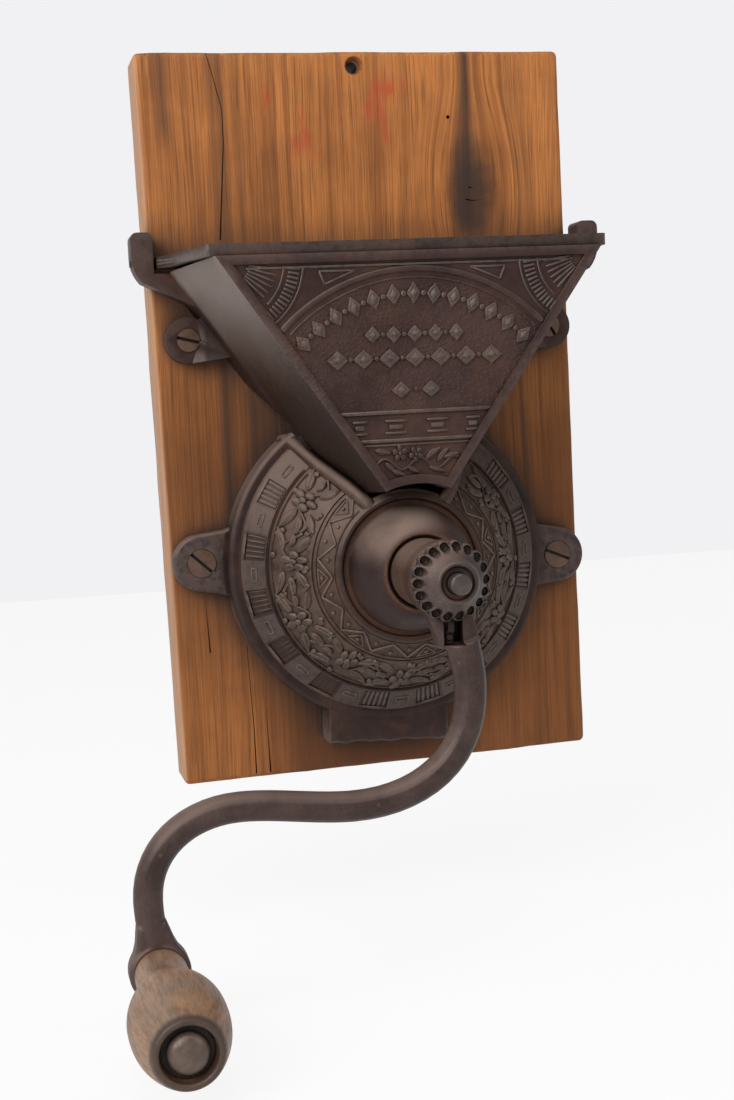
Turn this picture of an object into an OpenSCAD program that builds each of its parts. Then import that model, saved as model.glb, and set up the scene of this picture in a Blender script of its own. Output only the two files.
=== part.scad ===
// Wall mounted coffee mill: a cast hopper and grinder casing screwed to a pine board, with a crank.
// Sizes in millimetres. The origin is on the back of the board, on the shaft axis. Z is up, the front is -Y.
// Everything is drawn lying on its back: x to the right, y up the board, z out from the wall.
// stood() then stands it up. Depths called d are measured from the front face of the board.

/* [Board] */
// board beyond the lower lugs on each side
board_side = -0.3; // [-1:0.1:15]
// board thickness
board_t = 22; // [16:1:28]
// board top edge above the shaft axis
board_up = 193.3; // [180:0.5:220]
// board bottom edge below the shaft axis
board_down = 80.2; // [78:0.1:95]
// how far the left edge leans out at the top
board_lean = 3.4; // [0:0.1:6]
// how much lower the left end of the bottom edge lies
board_slant = 2.2; // [0:0.1:5]
// corner rounding of the board
board_corner = 2.5; // [1:0.5:6]
// nail hole diameter
hang_d = 4.6; // [3:0.1:8]
// nail hole centre below the top edge
hang_drop = 5.9; // [4:0.1:20]
// nail hole centre, sideways
hang_x = -1.4; // [-5:0.1:5]

/* [Casing] */
// rim radius of the casing
case_r = 61.3; // [58:0.1:66]
// height of the rim above the board
case_rim = 14; // [12:0.5:16]
// wall thickness of the casing
case_wall = 4; // [3:0.1:5]
// turn of the casing on the board, in degrees
case_turn = -2.5; // [-4:0.1:4]
// width of the flat rim band
rim_w = 3.9; // [3:0.1:5]
// width of the brick band
brick_w = 9.3; // [8:0.1:10]
// width of the floral band
floral_w = 12.8; // [11:0.1:14]
// inner end of the wedge that lets the hopper in
wedge_r = 28.6; // [28:0.1:31]
// collar radius at the foot of the dome
collar_r = 26.2; // [25.5:0.1:27]
// collar height above the board
collar_d = 48.2; // [46:0.1:51]
// dome radius at its foot
dome_r = 22.7; // [20:0.1:25]
// dome front above the board
dome_d = 67; // [62:0.5:72]
// floor of the crank bearing above the board
bearing_d = 52; // [50:0.5:55]
// screw distance of the lower lugs from the shaft axis
lug_x = 70.5; // [68:0.5:75]
// end radius of the lower lugs
lug_r = 10.8; // [9:0.1:13]
// lug thickness, upper and lower
lug_t = 6.5; // [5:0.1:8]
// spout lip half width
lip_hw = 23.5; // [18:0.5:28]
// spout lip bottom below the shaft axis
lip_down = 69.6; // [66:0.1:78]
// wall thickness of the spout
lip_t = 3.6; // [2.5:0.1:5]

/* [Hopper] */
// hopper rim above the shaft axis
hop_top = 111.7; // [105:0.1:120]
// lower corners of the front plate above the shaft axis
hop_low = 30.9; // [30:0.1:36]
// front plate half width at the rim
hop_front_hw = 68.7; // [62:0.1:76]
// front plate half width at its lower corners
hop_low_hw = 13.35; // [12:0.05:16]
// back half width at the rim
hop_back_hw = 78.4; // [74:0.1:82]
// depth of the front plate at the rim
hop_front_d = 71.4; // [66:0.1:76]
// depth of the front plate at its lower corners
hop_low_d = 63.7; // [60:0.1:68]
// wall thickness of the hopper
hop_wall = 4; // [3:0.1:5]
// raised border of the front plate, width
border_w = 3.2; // [2:0.1:5]
// raised border of the front plate, height
border_t = 1.2; // [0.6:0.1:2]
// gap between the hopper and the casing
hop_gap = 0.6; // [0.4:0.1:2]
// width of the beads along the wedge of the casing
bead_w = 4.4; // [3:0.1:6]
// upper screws, sideways
up_lug_x = 70.6; // [66:0.1:75]
// upper screws above the shaft axis
up_lug_z = 86.7; // [80:0.1:92]
// end radius of the upper lugs
up_lug_r = 8.6; // [7:0.1:10]
// top of the ears above the shaft axis
ear_top = 126.4; // [122:0.1:132]
// ear width
ear_w = 8; // [6:0.1:10]
// ear thickness
ear_t = 11; // [9:0.1:13]

/* [Lid] */
// lid thickness
lid_t = 4; // [3.6:0.1:5]
// front half width of the lid
lid_front_hw = 70; // [64:0.1:74]
// back half width of the lid
lid_back_hw = 82; // [78:0.1:86]
// front edge of the lid above the board
lid_front_d = 70.4; // [66:0.1:75]
// lid pin diameter
lid_pin_d = 2.4; // [2:0.1:2.6]
// lid pin centre above the board
lid_pin_out = 5.6; // [5:0.1:6.5]
// rise of the lid pin over the seat of a level lid
lid_rise = 1.6; // [0.8:0.1:2.4]

/* [Shaft and burrs] */
// square drive of the shaft, across flats
drive_w = 9; // [8:0.1:10]
// thread diameter of the shaft
thread_d = 7.1; // [6:0.1:8]
// front end of the shaft beyond the crank eye
shaft_out = 17; // [15:0.5:20]
// pin through the runner burr, diameter
runner_pin_d = 3; // [2.5:0.1:4]
// pin through the runner burr, length
runner_pin_len = 40; // [30:1:44]
// pin through the runner burr, above its back face
runner_pin_at = 6; // [5:0.5:8]
// screws of the fixed burr, diameter
burr_screw_d = 3; // [2.5:0.1:4]
// screws of the fixed burr, length behind the plate
burr_screw_len = 7; // [5:0.5:8]
// screws of the fixed burr, distance from the shaft axis
pillar_at = 40; // [39:0.5:44]
// rear journal diameter of the shaft
journal_d = 10; // [9:0.1:11]
// large radius of the runner burr
runner_r = 31.2; // [29:0.1:32]
// small radius of the runner burr
runner_tip_r = 13; // [12:0.1:15]
// length of the runner burr
runner_len = 31; // [28:0.5:33]
// grooves of the runner burr
runner_teeth = 24; // [18:1:30]
// gap between the burrs at rest
burr_gap = 0.8; // [0.6:0.1:1.5]
// outer radius of the fixed burr plate
fixed_r = 52.5; // [51:0.1:53]
// thickness of the fixed burr plate
fixed_t = 4; // [3:0.1:5]
// wall of the fixed burr ring
fixed_wall = 3.6; // [3.2:0.1:3.8]
// grooves of the fixed burr
fixed_teeth = 20; // [16:1:28]
// back plate thickness
back_t = 3; // [2.5:0.1:4]

/* [Crank] */
// radius of the crank journal in the dome
sleeve_r = 12.2; // [11:0.1:13]
// eye radius of the crank
eye_r = 13.2; // [12.5:0.1:14]
// front face of the crank eye above the board
eye_d = 97.5; // [95:0.5:99]
// eye length
eye_len = 9; // [8:0.5:11]
// centre plane of the crank arm behind the face of the eye
arm_back = 2; // [1:0.5:4]
// arm diameter next to the eye
arm_root = 13.5; // [12:0.1:15]
// arm diameter along the bend
arm_mid = 10.8; // [10:0.1:12]
// arm diameter at the knob
arm_end = 9.6; // [8:0.1:11]
// knob axis to the left of the shaft
reach = 103.5; // [95:0.5:110]
// knob axis below the shaft
drop = 121.5; // [112:0.5:130]
// end boss radius
boss_r = 10.2; // [9:0.1:12]
// end boss length
boss_len = 10; // [8:0.5:12]
// distance from the shaft axis to the step of the crank arm
step_r = 22; // [21:0.1:24]
// width of the detent pocket
pocket_w = 5; // [4.4:0.1:5.6]
// depth of the detent pocket
pocket_deep = 2.2; // [1.8:0.1:2.6]

/* [Regulator] */
// radius over the scallops of the nut
nut_r = 14.2; // [13:0.1:15]
// number of scallops
scallops = 18; // [12:1:24]
// scallop radius
scallop_r = 1.75; // [1.2:0.05:2]
// height of the scalloped rim
nut_rim = 6.2; // [5:0.1:8]
// overall height of the nut
nut_h = 13.6; // [12:0.1:14.5]
// radius of the front boss of the nut
nut_boss_r = 6.3; // [5.5:0.1:7]
// thickness of the detent leaf
leaf_t = 0.8; // [0.6:0.1:1]
// width of the detent leaf
leaf_w = 2; // [1.6:0.1:2.2]
// rise of the detent leaf from its foot to its tip
leaf_rise = 3.6; // [3:0.1:4]
// rivet of the detent leaf, diameter
rivet_d = 1.6; // [1.2:0.1:1.8]
// rivet of the detent leaf, from the step of the crank
rivet_at = 2.6; // [2.2:0.1:3]

/* [Knob] */
// greatest diameter of the knob
knob_d = 31; // [28:0.5:38]
// length of the knob
knob_len = 73.5; // [60:0.5:80]
// neck diameter of the knob
neck_d = 17.6; // [16:0.1:20]
// neck length of the knob
neck_len = 17; // [12:0.5:20]
// share of the barrel behind its widest place
knob_peak = 0.57; // [0.4:0.01:0.7]
// end diameter of the knob
knob_end_d = 23; // [21:0.5:27]
// bore of the recess in the knob end
recess_d = 20; // [17:0.1:20.4]
// depth of the recess in the knob end
recess_deep = 4.6; // [3:0.1:7]
// pin diameter of the knob
knob_pin_d = 6.4; // [5:0.1:8]
// head diameter of the knob pin
knob_head_d = 12.4; // [11:0.1:14]
// washer diameter
washer_d = 15.6; // [14:0.1:16.6]
// washer thickness
washer_t = 1.2; // [0.8:0.1:2]

/* [Wood screws] */
// head diameter of the upper screws
up_head_d = 9; // [8:0.1:10]
// head diameter of the lower screws
low_head_d = 11; // [10:0.1:12]
// shank diameter of the upper screws
up_shank_d = 4.6; // [4:0.1:5]
// shank diameter of the lower screws
low_shank_d = 5.5; // [5:0.1:6]
// screw length under the head surface
screw_len = 25; // [20:0.5:27]

/* [Fits] */
// radial running clearance of turning pieces
run_gap = 0.06; // [0.02:0.01:0.1]
// radial clearance round fixed pins and screws
pin_gap = 0.05; // [0.02:0.01:0.1]
// side clearance of loose pieces
side_gap = 0.4; // [0.3:0.05:0.8]

/* [Hidden] */
$fa = 4;
$fs = 0.4;
eps = 0.01;

// the side walls of the hopper are planes: half width = hw_0 + hw_up * up + hw_out * d
hw_out = (hop_front_hw - hop_back_hw) / hop_front_d;
hw_up = (hop_front_hw - hop_low_hw - hw_out * (hop_front_d - hop_low_d)) / (hop_top - hop_low);
hw_0 = hop_back_hw - hw_up * hop_top;
hw_slant = sqrt(1 + hw_up * hw_up + hw_out * hw_out);
hw_lean = atan(hw_up);
function hop_hw(up, d) = hw_0 + hw_up * up + hw_out * d;
function front_d(up) = hop_low_d + (up - hop_low) * (hop_front_d - hop_low_d) / (hop_top - hop_low);

board_w = 2 * (lug_x + lug_r + board_side);
arm_d = eye_d - arm_back;
shaft_end = eye_d + shaft_out;
shoulder_d = eye_d - 7;

hop_foot = hop_low - 6;
throat_r = norm([hop_low, hop_low_hw]) - 2.4;
hop_shelf = case_rim + 4;

// ornament bands of the casing, from the rim inwards
brick_out_r = case_r - rim_w;
brick_in_r = brick_out_r - 0.2 - brick_w;
floral_out_r = brick_in_r - 0.3;
floral_in_r = floral_out_r - floral_w;
brick_out_d = case_rim + 1.2;
brick_in_d = case_rim + 9.2;
floral_out_d = brick_in_d + 0.2;
floral_in_d = floral_out_d + 17.6;

// heights inside the casing
plate_d = case_rim - 2;
hop_bend = fixed_r + plate_d + fixed_t + 3 * side_gap;
runner_d = plate_d - 2;
runner_mid_r = runner_tip_r + 6;
runner_mid_d = runner_d + runner_len * 0.55;
fixed_back_d = runner_d - 1;
fixed_front_d = runner_mid_d;
fixed_back_r = runner_r + burr_gap;
fixed_front_r = fixed_back_r - 5;
fixed_nose_r = fixed_front_r + fixed_wall - 0.8;
function fixed_out_r(d) = fixed_back_r + fixed_wall
    - (d - fixed_back_d) * (fixed_back_r + fixed_wall - fixed_nose_r) / (fixed_front_d - fixed_back_d);
throat_back_r = max(throat_r, fixed_out_r(hop_shelf) + side_gap);
pillars = [20, 160, 270];
boss_d = 6;
bore_r = sleeve_r + run_gap;

// lid hinge
ear_x = lid_back_hw + side_gap;
lid_pin_z = hop_top + lid_t / 2 + lid_rise;
lid_run = lid_front_d - lid_pin_out;
lid_tilt = asin((lid_rise - 0.15) / lid_run);

// knob
knob_d0 = arm_d + boss_len / 2;
knob_d1 = knob_d0 + knob_len;
head_d0 = knob_d1 - recess_deep + washer_t;

// Shared shapes

// stands a piece drawn lying on its back against the wall
module stood() {
    rotate([90, 0, 0]) children();
}

// a piece placed from the front face of the board
module on_board() {
    stood() translate([0, 0, board_t]) children();
}

// places a child on the right and its mirror image on the left
module both_sides() {
    children();
    mirror([1, 0, 0]) children();
}

// points of an arc
function arc(cx, cy, r, a0, a1, n) =
    [for (i = [0 : n]) [cx + r * cos(a0 + (a1 - a0) * i / n), cy + r * sin(a0 + (a1 - a0) * i / n)]];

// a point of a cubic curve
function bezier(p, t) =
    pow(1 - t, 3) * p[0] + 3 * t * pow(1 - t, 2) * p[1] + 3 * t * t * (1 - t) * p[2] + pow(t, 3) * p[3];

// a solid tube through stations of [centre, direction in the plane, half width, half thickness]
module tube(stations, sides) {
    n = len(stations);
    points = [for (s = stations, k = [0 : sides - 1])
        let (a = 360 * k / sides, c = s[0], dir = s[1], w = s[2] * cos(a))
        [c[0] - dir[1] * w, c[1] + dir[0] * w, c[2] + s[3] * sin(a)]];
    walls = [for (i = [0 : n - 2], k = [0 : sides - 1])
        let (a = i * sides + k, b = i * sides + (k + 1) % sides)
        [a + sides, b + sides, b, a]];
    first = [[for (k = [0 : sides - 1]) k]];
    last = [[for (k = [sides - 1 : -1 : 0]) (n - 1) * sides + k]];
    polyhedron(points, concat(walls, first, last), convexity = 6);
}

// a slab beside the right wall of the hopper, from a distance off that wall outwards
module side_slab(off, thick) {
    translate([hw_0 + off * hw_slant, 0, 0]) rotate([0, atan(hw_out * cos(hw_lean)), -hw_lean])
        translate([0, -300, -300]) cube([thick, 600, 600]);
}

// a solid between the hopper's slanted sides grown by off, whose side view is drawn as [d, up]
module hopper_block(side, off) {
    difference() {
        translate([-150, 0, 0]) rotate([90, 0, 90]) linear_extrude(300)
            polygon([for (p = side) [p[1], p[0]]]);
        both_sides() side_slab(off, 300);
    }
}

// a slotted wood screw with a countersunk head, its head at the top
module wood_screw(head_d, shank_d, slot_turn) {
    cone = (head_d - shank_d) / 2;
    difference() {
        union() {
            cylinder(d = shank_d, h = screw_len - 6);
            translate([0, 0, -6]) cylinder(d1 = shank_d * 0.3, d2 = shank_d, h = 6);
            translate([0, 0, screw_len - 6 - cone]) cylinder(d1 = shank_d, d2 = head_d, h = cone);
            translate([0, 0, screw_len - 6]) cylinder(d = head_d, h = 0.6);
        }
        rotate([0, 0, slot_turn]) translate([-head_d, -0.6, screw_len - 6.6]) cube([2 * head_d, 1.2, 3]);
    }
}

// the room a wood screw needs, from the lug face down into the board
module screw_room(head_d, shank_d) {
    cone = (head_d - shank_d) / 2;
    translate([0, 0, -screw_len - 2]) cylinder(d = shank_d + 2 * pin_gap, h = screw_len + 3);
    translate([0, 0, -cone]) cylinder(d1 = shank_d + 2 * pin_gap, d2 = head_d + 2 * pin_gap, h = cone);
    translate([0, 0, -eps]) cylinder(d = head_d + 2 * pin_gap, h = 5);
}

// where the four wood screws stand
module at_upper_screws() {
    for (side = [-1, 1]) translate([side * up_lug_x, up_lug_z, lug_t]) children();
}
module at_lower_screws() {
    rotate([0, 0, case_turn]) for (side = [-1, 1]) translate([side * lug_x, 0, lug_t]) children();
}

// Board

module backboard() {
    left = -board_w / 2 + board_corner;
    color("peru") stood() difference() {
        linear_extrude(board_t) polygon(concat(
            arc(left, -board_down - board_slant + board_corner, board_corner, 180, 270, 5),
            arc(-left, -board_down + board_corner, board_corner, 270, 360, 5),
            arc(-left, board_up - board_corner, board_corner, 0, 90, 5),
            arc(left - board_lean, board_up - board_corner, board_corner, 90, 180, 5)));
        translate([hang_x, board_up - hang_drop, -1]) cylinder(d = hang_d, h = board_t + 2);
        translate([0, 0, board_t]) {
            at_upper_screws() screw_room(up_head_d, up_shank_d);
            at_lower_screws() screw_room(low_head_d, low_shank_d);
        }
    }
}

// Hopper and lid

module hopper() {
    low_d = front_d(hop_foot);
    top_d = front_d(hop_top + 2);
    panel_top = hop_top - border_w;
    outside = [[0, hop_top], [0, hop_bend], [hop_shelf, hop_bend - hop_shelf], [hop_shelf, hop_foot],
        [low_d + border_t, hop_foot], [hop_front_d + border_t, hop_top]];
    inside = [[hop_wall, hop_top + 2], [hop_wall, hop_bend + hop_wall * 0.4],
        [hop_shelf + hop_wall, hop_bend - hop_shelf + hop_wall * 0.4], [hop_shelf + hop_wall, hop_foot - 2],
        [low_d - hop_wall, hop_foot - 2], [top_d - hop_wall, hop_top + 2]];
    panel = [[low_d, hop_foot], [front_d(panel_top), panel_top], [front_d(panel_top) + 9, panel_top],
        [low_d + 9, hop_foot]];
    color("dimgray") on_board() difference() {
        union() {
            hopper_block(outside, 0);
            both_sides() {
                ear();
                upper_lug();
            }
        }
        hopper_block(inside, -hop_wall);
        difference() {
            hopper_block(panel, -border_w);
            cylinder(r = throat_r + border_w, h = 100);
        }
        translate([0, 0, hop_shelf - 1]) {
            cylinder(r = throat_r, h = 70);
            cylinder(r = throat_back_r, h = 1 + 2 * hop_wall);
        }
        at_upper_screws() screw_room(up_head_d, up_shank_d);
        both_sides() translate([ear_x - 1, lid_pin_z, lid_pin_out]) rotate([0, 90, 0])
            cylinder(d = lid_pin_d + 2 * pin_gap, h = ear_w + 2);
    }
}

// a hook shaped ear that carries one lid pin
module ear() {
    linear_extrude(ear_t) polygon(concat(
        [[hop_hw(96, 0) - 4, 96], [hop_hw(101, 0) + 1, 101]],
        arc(ear_x - 6, 117.5, ear_w + 6, -42, 0, 5),
        arc(ear_x + ear_w - 2.4, ear_top - 2.4, 2.4, 0, 90, 4),
        arc(ear_x + 2, ear_top - 2, 2, 90, 180, 4),
        [[ear_x, hop_top - 0.5], [hop_hw(96, 0) - 4, hop_top - 0.5]]));
}

// an upper screw lug on the flank of the hopper
module upper_lug() {
    linear_extrude(lug_t) {
        translate([up_lug_x, up_lug_z]) circle(up_lug_r);
        polygon([[hop_hw(up_lug_z, 0) - 6, up_lug_z - up_lug_r * 0.8], [up_lug_x - 1, up_lug_z - up_lug_r],
            [up_lug_x - 3, up_lug_z + up_lug_r * 0.9], [hop_hw(up_lug_z, 0) - 2, up_lug_z + up_lug_r]]);
    }
}

module hopper_lid() {
    color("dimgray") on_board() translate([0, lid_pin_z, lid_pin_out]) rotate([lid_tilt, 0, 0]) difference() {
        union() {
            translate([0, lid_t / 2, 0]) rotate([90, 0, 0]) linear_extrude(lid_t)
                polygon([[-lid_back_hw, 0], [lid_back_hw, 0], [lid_front_hw + 1, lid_run - 1],
                    [lid_front_hw, lid_run], [-lid_front_hw, lid_run], [-lid_front_hw - 1, lid_run - 1]]);
            translate([-lid_back_hw, 0, 0]) rotate([0, 90, 0]) cylinder(d = lid_t, h = 2 * lid_back_hw);
        }
        both_sides() translate([lid_back_hw - 7, 0, 0]) rotate([0, 90, 0])
            cylinder(d = lid_pin_d + 2 * run_gap, h = 8);
    }
}

module lid_pins() {
    color("slategray") on_board() both_sides() translate([lid_back_hw - 6, lid_pin_z, lid_pin_out])
        rotate([0, 90, 0]) cylinder(d = lid_pin_d, h = ear_w + 6.4 + side_gap);
}

// Grinder casing and what it holds

// outline of the casing from the rim at the board up to the dome, as [radius, d]
case_outline = concat(
    [[case_r, 0], [case_r, case_rim - 2.2], [case_r - 0.7, case_rim - 0.6], [case_r - 1.7, case_rim],
        [brick_out_r, case_rim], [brick_out_r - 0.2, brick_out_d], [brick_in_r, brick_in_d],
        [floral_out_r, floral_out_d], [floral_in_r, floral_in_d], [collar_r + 1.4, collar_d - 1.6]],
    arc(collar_r - 0.2, collar_d - 1, 1.2, 20, 150, 5),
    [[collar_r - 1.8, collar_d - 1], [dome_r, collar_d - 1.6]],
    [for (i = [1 : 9]) let (a = 90 * i / 9)
        [bore_r + 1 + (dome_r - bore_r - 1) * pow(cos(a), 0.8),
            collar_d + (dome_d - collar_d) * pow(sin(a), 0.9)]]);

// the hollow of the casing, as [radius, d]
case_hollow = [[0, -1], [case_r - case_wall, -1], [case_r - case_wall, plate_d],
    [fixed_r + side_gap, plate_d], [fixed_r + side_gap, plate_d + fixed_t],
    [brick_in_r + 1.7, plate_d + fixed_t],
    [floral_out_r - case_wall / 2, floral_out_d - case_wall], [floral_in_r - case_wall, floral_in_d - 1],
    [collar_r - 0.6, collar_d - 6.4],
    [dome_r - 5, collar_d - 5], [0, collar_d - 5]];

module grinder_casing() {
    color("dimgray") on_board() difference() {
        union() {
            rotate([0, 0, case_turn]) {
                rotate_extrude() polygon(concat([[0, 0]], case_outline, [[0, dome_d]]));
                both_sides() casing_lug();
                spout_outside();
            }
            wedge_beads();
        }
        rotate([0, 0, case_turn]) {
            difference() {
                rotate_extrude() polygon(case_hollow);
                for (a = pillars) rotate([0, 0, a]) translate([pillar_at, 0, plate_d + fixed_t])
                    cylinder(d = 3 * burr_screw_d, h = collar_d);
            }
            for (a = pillars) rotate([0, 0, a]) translate([pillar_at, 0, plate_d + fixed_t - eps])
                cylinder(d = burr_screw_d + 2 * pin_gap, h = burr_screw_len + 1);
            translate([-lip_hw + lip_t, -lip_down - 1, -1])
                cube([2 * (lip_hw - lip_t), lip_down - 46, case_rim - lip_t + 0.6]);
        }
        translate([0, 0, bearing_d]) cylinder(r = bore_r, h = 30);
        translate([0, 0, dome_d - 1.2]) cylinder(r1 = bore_r, r2 = bore_r + 1.3, h = 1.3);
        translate([0, 0, collar_d - 8]) cylinder(r = 8, h = bearing_d - collar_d + 9);
        difference() {
            hopper_block([[-1, hop_foot - 9], [90, hop_foot - 9], [90, hop_top], [-1, hop_top]], hop_gap);
            translate([0, 0, -2]) cylinder(r = wedge_r, h = 100);
        }
        at_lower_screws() screw_room(low_head_d, low_shank_d);
    }
}

// a screw lug of the casing, wider at its root
module casing_lug() {
    linear_extrude(lug_t) {
        translate([lug_x, 0]) circle(lug_r);
        polygon([[54, -15], [lug_x, -lug_r], [lug_x, lug_r], [54, 15]]);
    }
}

// the short chute under the casing, open behind and below
module spout_outside() {
    translate([-lip_hw, -lip_down, 0]) cube([2 * lip_hw, lip_down - 44, case_rim - 0.4]);
}

// smooth beads along both edges of the wedge that lets the hopper in
module wedge_beads() {
    both_sides() intersection() {
        rotate_extrude() polygon([[wedge_r - 2, 20], [case_r - 4, 8], [case_r - 0.4, case_rim - 1],
            [brick_out_r, case_rim + 1.8], [brick_in_r - 1.4, brick_in_d + 3.6],
            [floral_in_r, floral_in_d + 2.2], [wedge_r, collar_d + 0.2], [wedge_r - 2, collar_d + 0.2]]);
        side_slab(hop_gap, bead_w);
        translate([0, hop_foot - 9, 0]) cube([80, 80, 80]);
    }
}

module back_plate() {
    color("gray") on_board() rotate([0, 0, case_turn]) difference() {
        union() {
            cylinder(r = case_r - case_wall - side_gap, h = back_t);
            cylinder(r = 10, h = boss_d);
        }
        translate([0, 0, -1]) cylinder(d = journal_d + 2 * run_gap, h = boss_d + 2);
        translate([-lip_hw, -lip_down, -1]) cube([2 * lip_hw, lip_down - 44, back_t + 2]);
    }
}

module fixed_burr() {
    color("gray") on_board() rotate([0, 0, case_turn]) difference() {
        union() {
            translate([0, 0, plate_d]) cylinder(r = fixed_r, h = fixed_t);
            translate([0, 0, fixed_back_d]) cylinder(r1 = fixed_back_r + fixed_wall,
                r2 = fixed_nose_r, h = fixed_front_d - fixed_back_d);
        }
        translate([0, 0, fixed_back_d - eps]) cylinder(r1 = fixed_back_r, r2 = fixed_front_r,
            h = fixed_front_d - fixed_back_d + 2 * eps);
        for (i = [0 : fixed_teeth - 1]) rotate([0, 0, 360 * i / fixed_teeth])
            translate([fixed_back_r + 0.6, 0, fixed_back_d - 6])
                rotate([14, atan2(fixed_front_r - fixed_back_r, fixed_front_d - fixed_back_d), 0])
                    cylinder(r = 1.5, h = 32);
        for (a = pillars) rotate([0, 0, a]) translate([pillar_at, 0, plate_d]) {
            translate([0, 0, -1]) cylinder(d = burr_screw_d + 2 * pin_gap, h = fixed_t + 2);
            translate([0, 0, -eps]) cylinder(d1 = 2 * burr_screw_d + 2 * pin_gap,
                d2 = burr_screw_d + 2 * pin_gap, h = burr_screw_d / 2);
        }
    }
}

module fixed_burr_screws() {
    color("slategray") on_board() rotate([0, 0, case_turn])
        for (a = pillars) rotate([0, 0, a]) translate([pillar_at, 0, plate_d]) difference() {
            union() {
                cylinder(d = burr_screw_d, h = fixed_t + burr_screw_len);
                cylinder(d1 = 2 * burr_screw_d, d2 = burr_screw_d, h = burr_screw_d / 2);
            }
            translate([-2 * burr_screw_d, -burr_screw_d / 8, -1])
                cube([4 * burr_screw_d, burr_screw_d / 4, 1 + burr_screw_d / 4]);
        }
}

module runner_burr() {
    color("gray") on_board() difference() {
        rotate_extrude() polygon([[0, runner_d], [runner_r, runner_d], [runner_mid_r, runner_mid_d],
            [runner_tip_r, runner_d + runner_len], [0, runner_d + runner_len]]);
        for (i = [0 : runner_teeth - 1]) rotate([0, 0, 360 * i / runner_teeth])
            translate([runner_r + 0.5, 0, runner_d - 2])
                rotate([-16, atan2(runner_mid_r - runner_r, runner_mid_d - runner_d), 0])
                    cylinder(r = 1.3, h = 19);
        for (i = [0 : 5]) rotate([0, 0, 60 * i]) translate([runner_mid_r + 2.2, 0, runner_mid_d - 8])
            rotate([-24, -16, 0]) cylinder(r = 3.2, h = 34);
        drive_hole(runner_d - 1, runner_len + 2);
        runner_pin_hole();
    }
}

// the square hole that takes the shaft
module drive_hole(d, length) {
    w = drive_w + 2 * run_gap;
    translate([-w / 2, -w / 2, d]) cube([w, w, length]);
}

module runner_pin() {
    color("slategray") on_board() translate([-runner_pin_len / 2, 0, runner_d + runner_pin_at])
        rotate([0, 90, 0]) cylinder(d = runner_pin_d, h = runner_pin_len);
}

// the cross hole for that pin
module runner_pin_hole() {
    translate([-2 * runner_r, 0, runner_d + runner_pin_at]) rotate([0, 90, 0])
        cylinder(d = runner_pin_d + 2 * pin_gap, h = 4 * runner_r);
}

module drive_shaft() {
    color("silver") on_board() difference() {
        union() {
            translate([0, 0, 2]) cylinder(d = journal_d, h = runner_d - 4);
            translate([0, 0, runner_d - 2]) cylinder(r = 9, h = 2);
            translate([-drive_w / 2, -drive_w / 2, runner_d]) cube([drive_w, drive_w, shoulder_d - runner_d]);
            translate([0, 0, shoulder_d - eps]) cylinder(d = thread_d, h = shaft_end - shoulder_d - 0.6);
            translate([0, 0, shaft_end - 0.6 - eps])
                cylinder(d1 = thread_d, d2 = thread_d - 1.2, h = 0.6 + eps);
        }
        runner_pin_hole();
    }
}

// Crank, regulator and knob

// the arm runs through smooth curves, given as shares of the reach and the drop
arm_curves = [
    [[0, 0.02], [0.012, -0.11], [0.062, -0.2], [0.064, -0.296]],
    [[0.064, -0.296], [0.068, -0.51], [-0.125, -0.609], [-0.348, -0.606]],
    [[-0.348, -0.606], [-0.473, -0.604], [-0.6, -0.576], [-0.715, -0.576]],
    [[-0.715, -0.576], [-0.889, -0.576], [-1.022, -0.667], [-1.023, -0.807]],
    [[-1.023, -0.807], [-1.023, -0.87], [-1.008, -0.93], [-1, -0.99]]];
arm_steps = 9;
arm_points = [for (c = [0 : 4], i = [c == 0 ? 0 : 1 : arm_steps])
    let (p = bezier(arm_curves[c], i / arm_steps)) [p[0] * reach, p[1] * drop]];
arm_n = len(arm_points);
function arm_dir(i) =
    let (v = arm_points[min(i + 1, arm_n - 1)] - arm_points[max(i - 1, 0)]) v / norm(v);
function arm_size(t) = t < 0.3 ? arm_root + (arm_mid - arm_root) * sin(300 * t)
    : arm_mid + (arm_end - arm_mid) * (t - 0.3) / 0.7;

module crank() {
    color("dimgray") on_board() difference() {
        union() {
            translate([0, 0, bearing_d]) cylinder(r = sleeve_r, h = eye_d - bearing_d);
            translate([0, 0, eye_d - eye_len]) cylinder(r = eye_r, h = eye_len);
            difference() {
                tube([for (i = [0 : arm_n - 1]) let (t = i / (arm_n - 1), s = arm_size(t))
                    [[arm_points[i][0], arm_points[i][1], arm_d], arm_dir(i), s / 2,
                        min(s, arm_mid + 0.2) / 2]], 20);
                translate([0, 0, eye_d]) cylinder(r = step_r, h = 20);
            }
            translate([-reach, -drop, arm_d - boss_len / 2]) cylinder(r = boss_r, h = boss_len);
        }
        drive_hole(bearing_d - 1, shoulder_d + 4 - bearing_d);
        translate([0, 0, shoulder_d]) cylinder(d = thread_d + 2 * run_gap, h = shaft_out);
        detent_pocket();
        translate([0, -step_r + rivet_at, arm_d - arm_mid / 2 + 1])
            cylinder(d = rivet_d + 2 * pin_gap, h = arm_mid);
        translate([-reach, -drop, arm_d - boss_len]) cylinder(d = knob_pin_d + 2 * pin_gap, h = 2 * boss_len);
    }
}

// the pocket in the crank neck where the detent leaf lies
module detent_pocket() {
    translate([-pocket_w / 2 + 0.6, -step_r, eye_d - pocket_deep])
        cube([pocket_w, step_r - nut_r + 1.6, arm_mid]);
}

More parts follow.
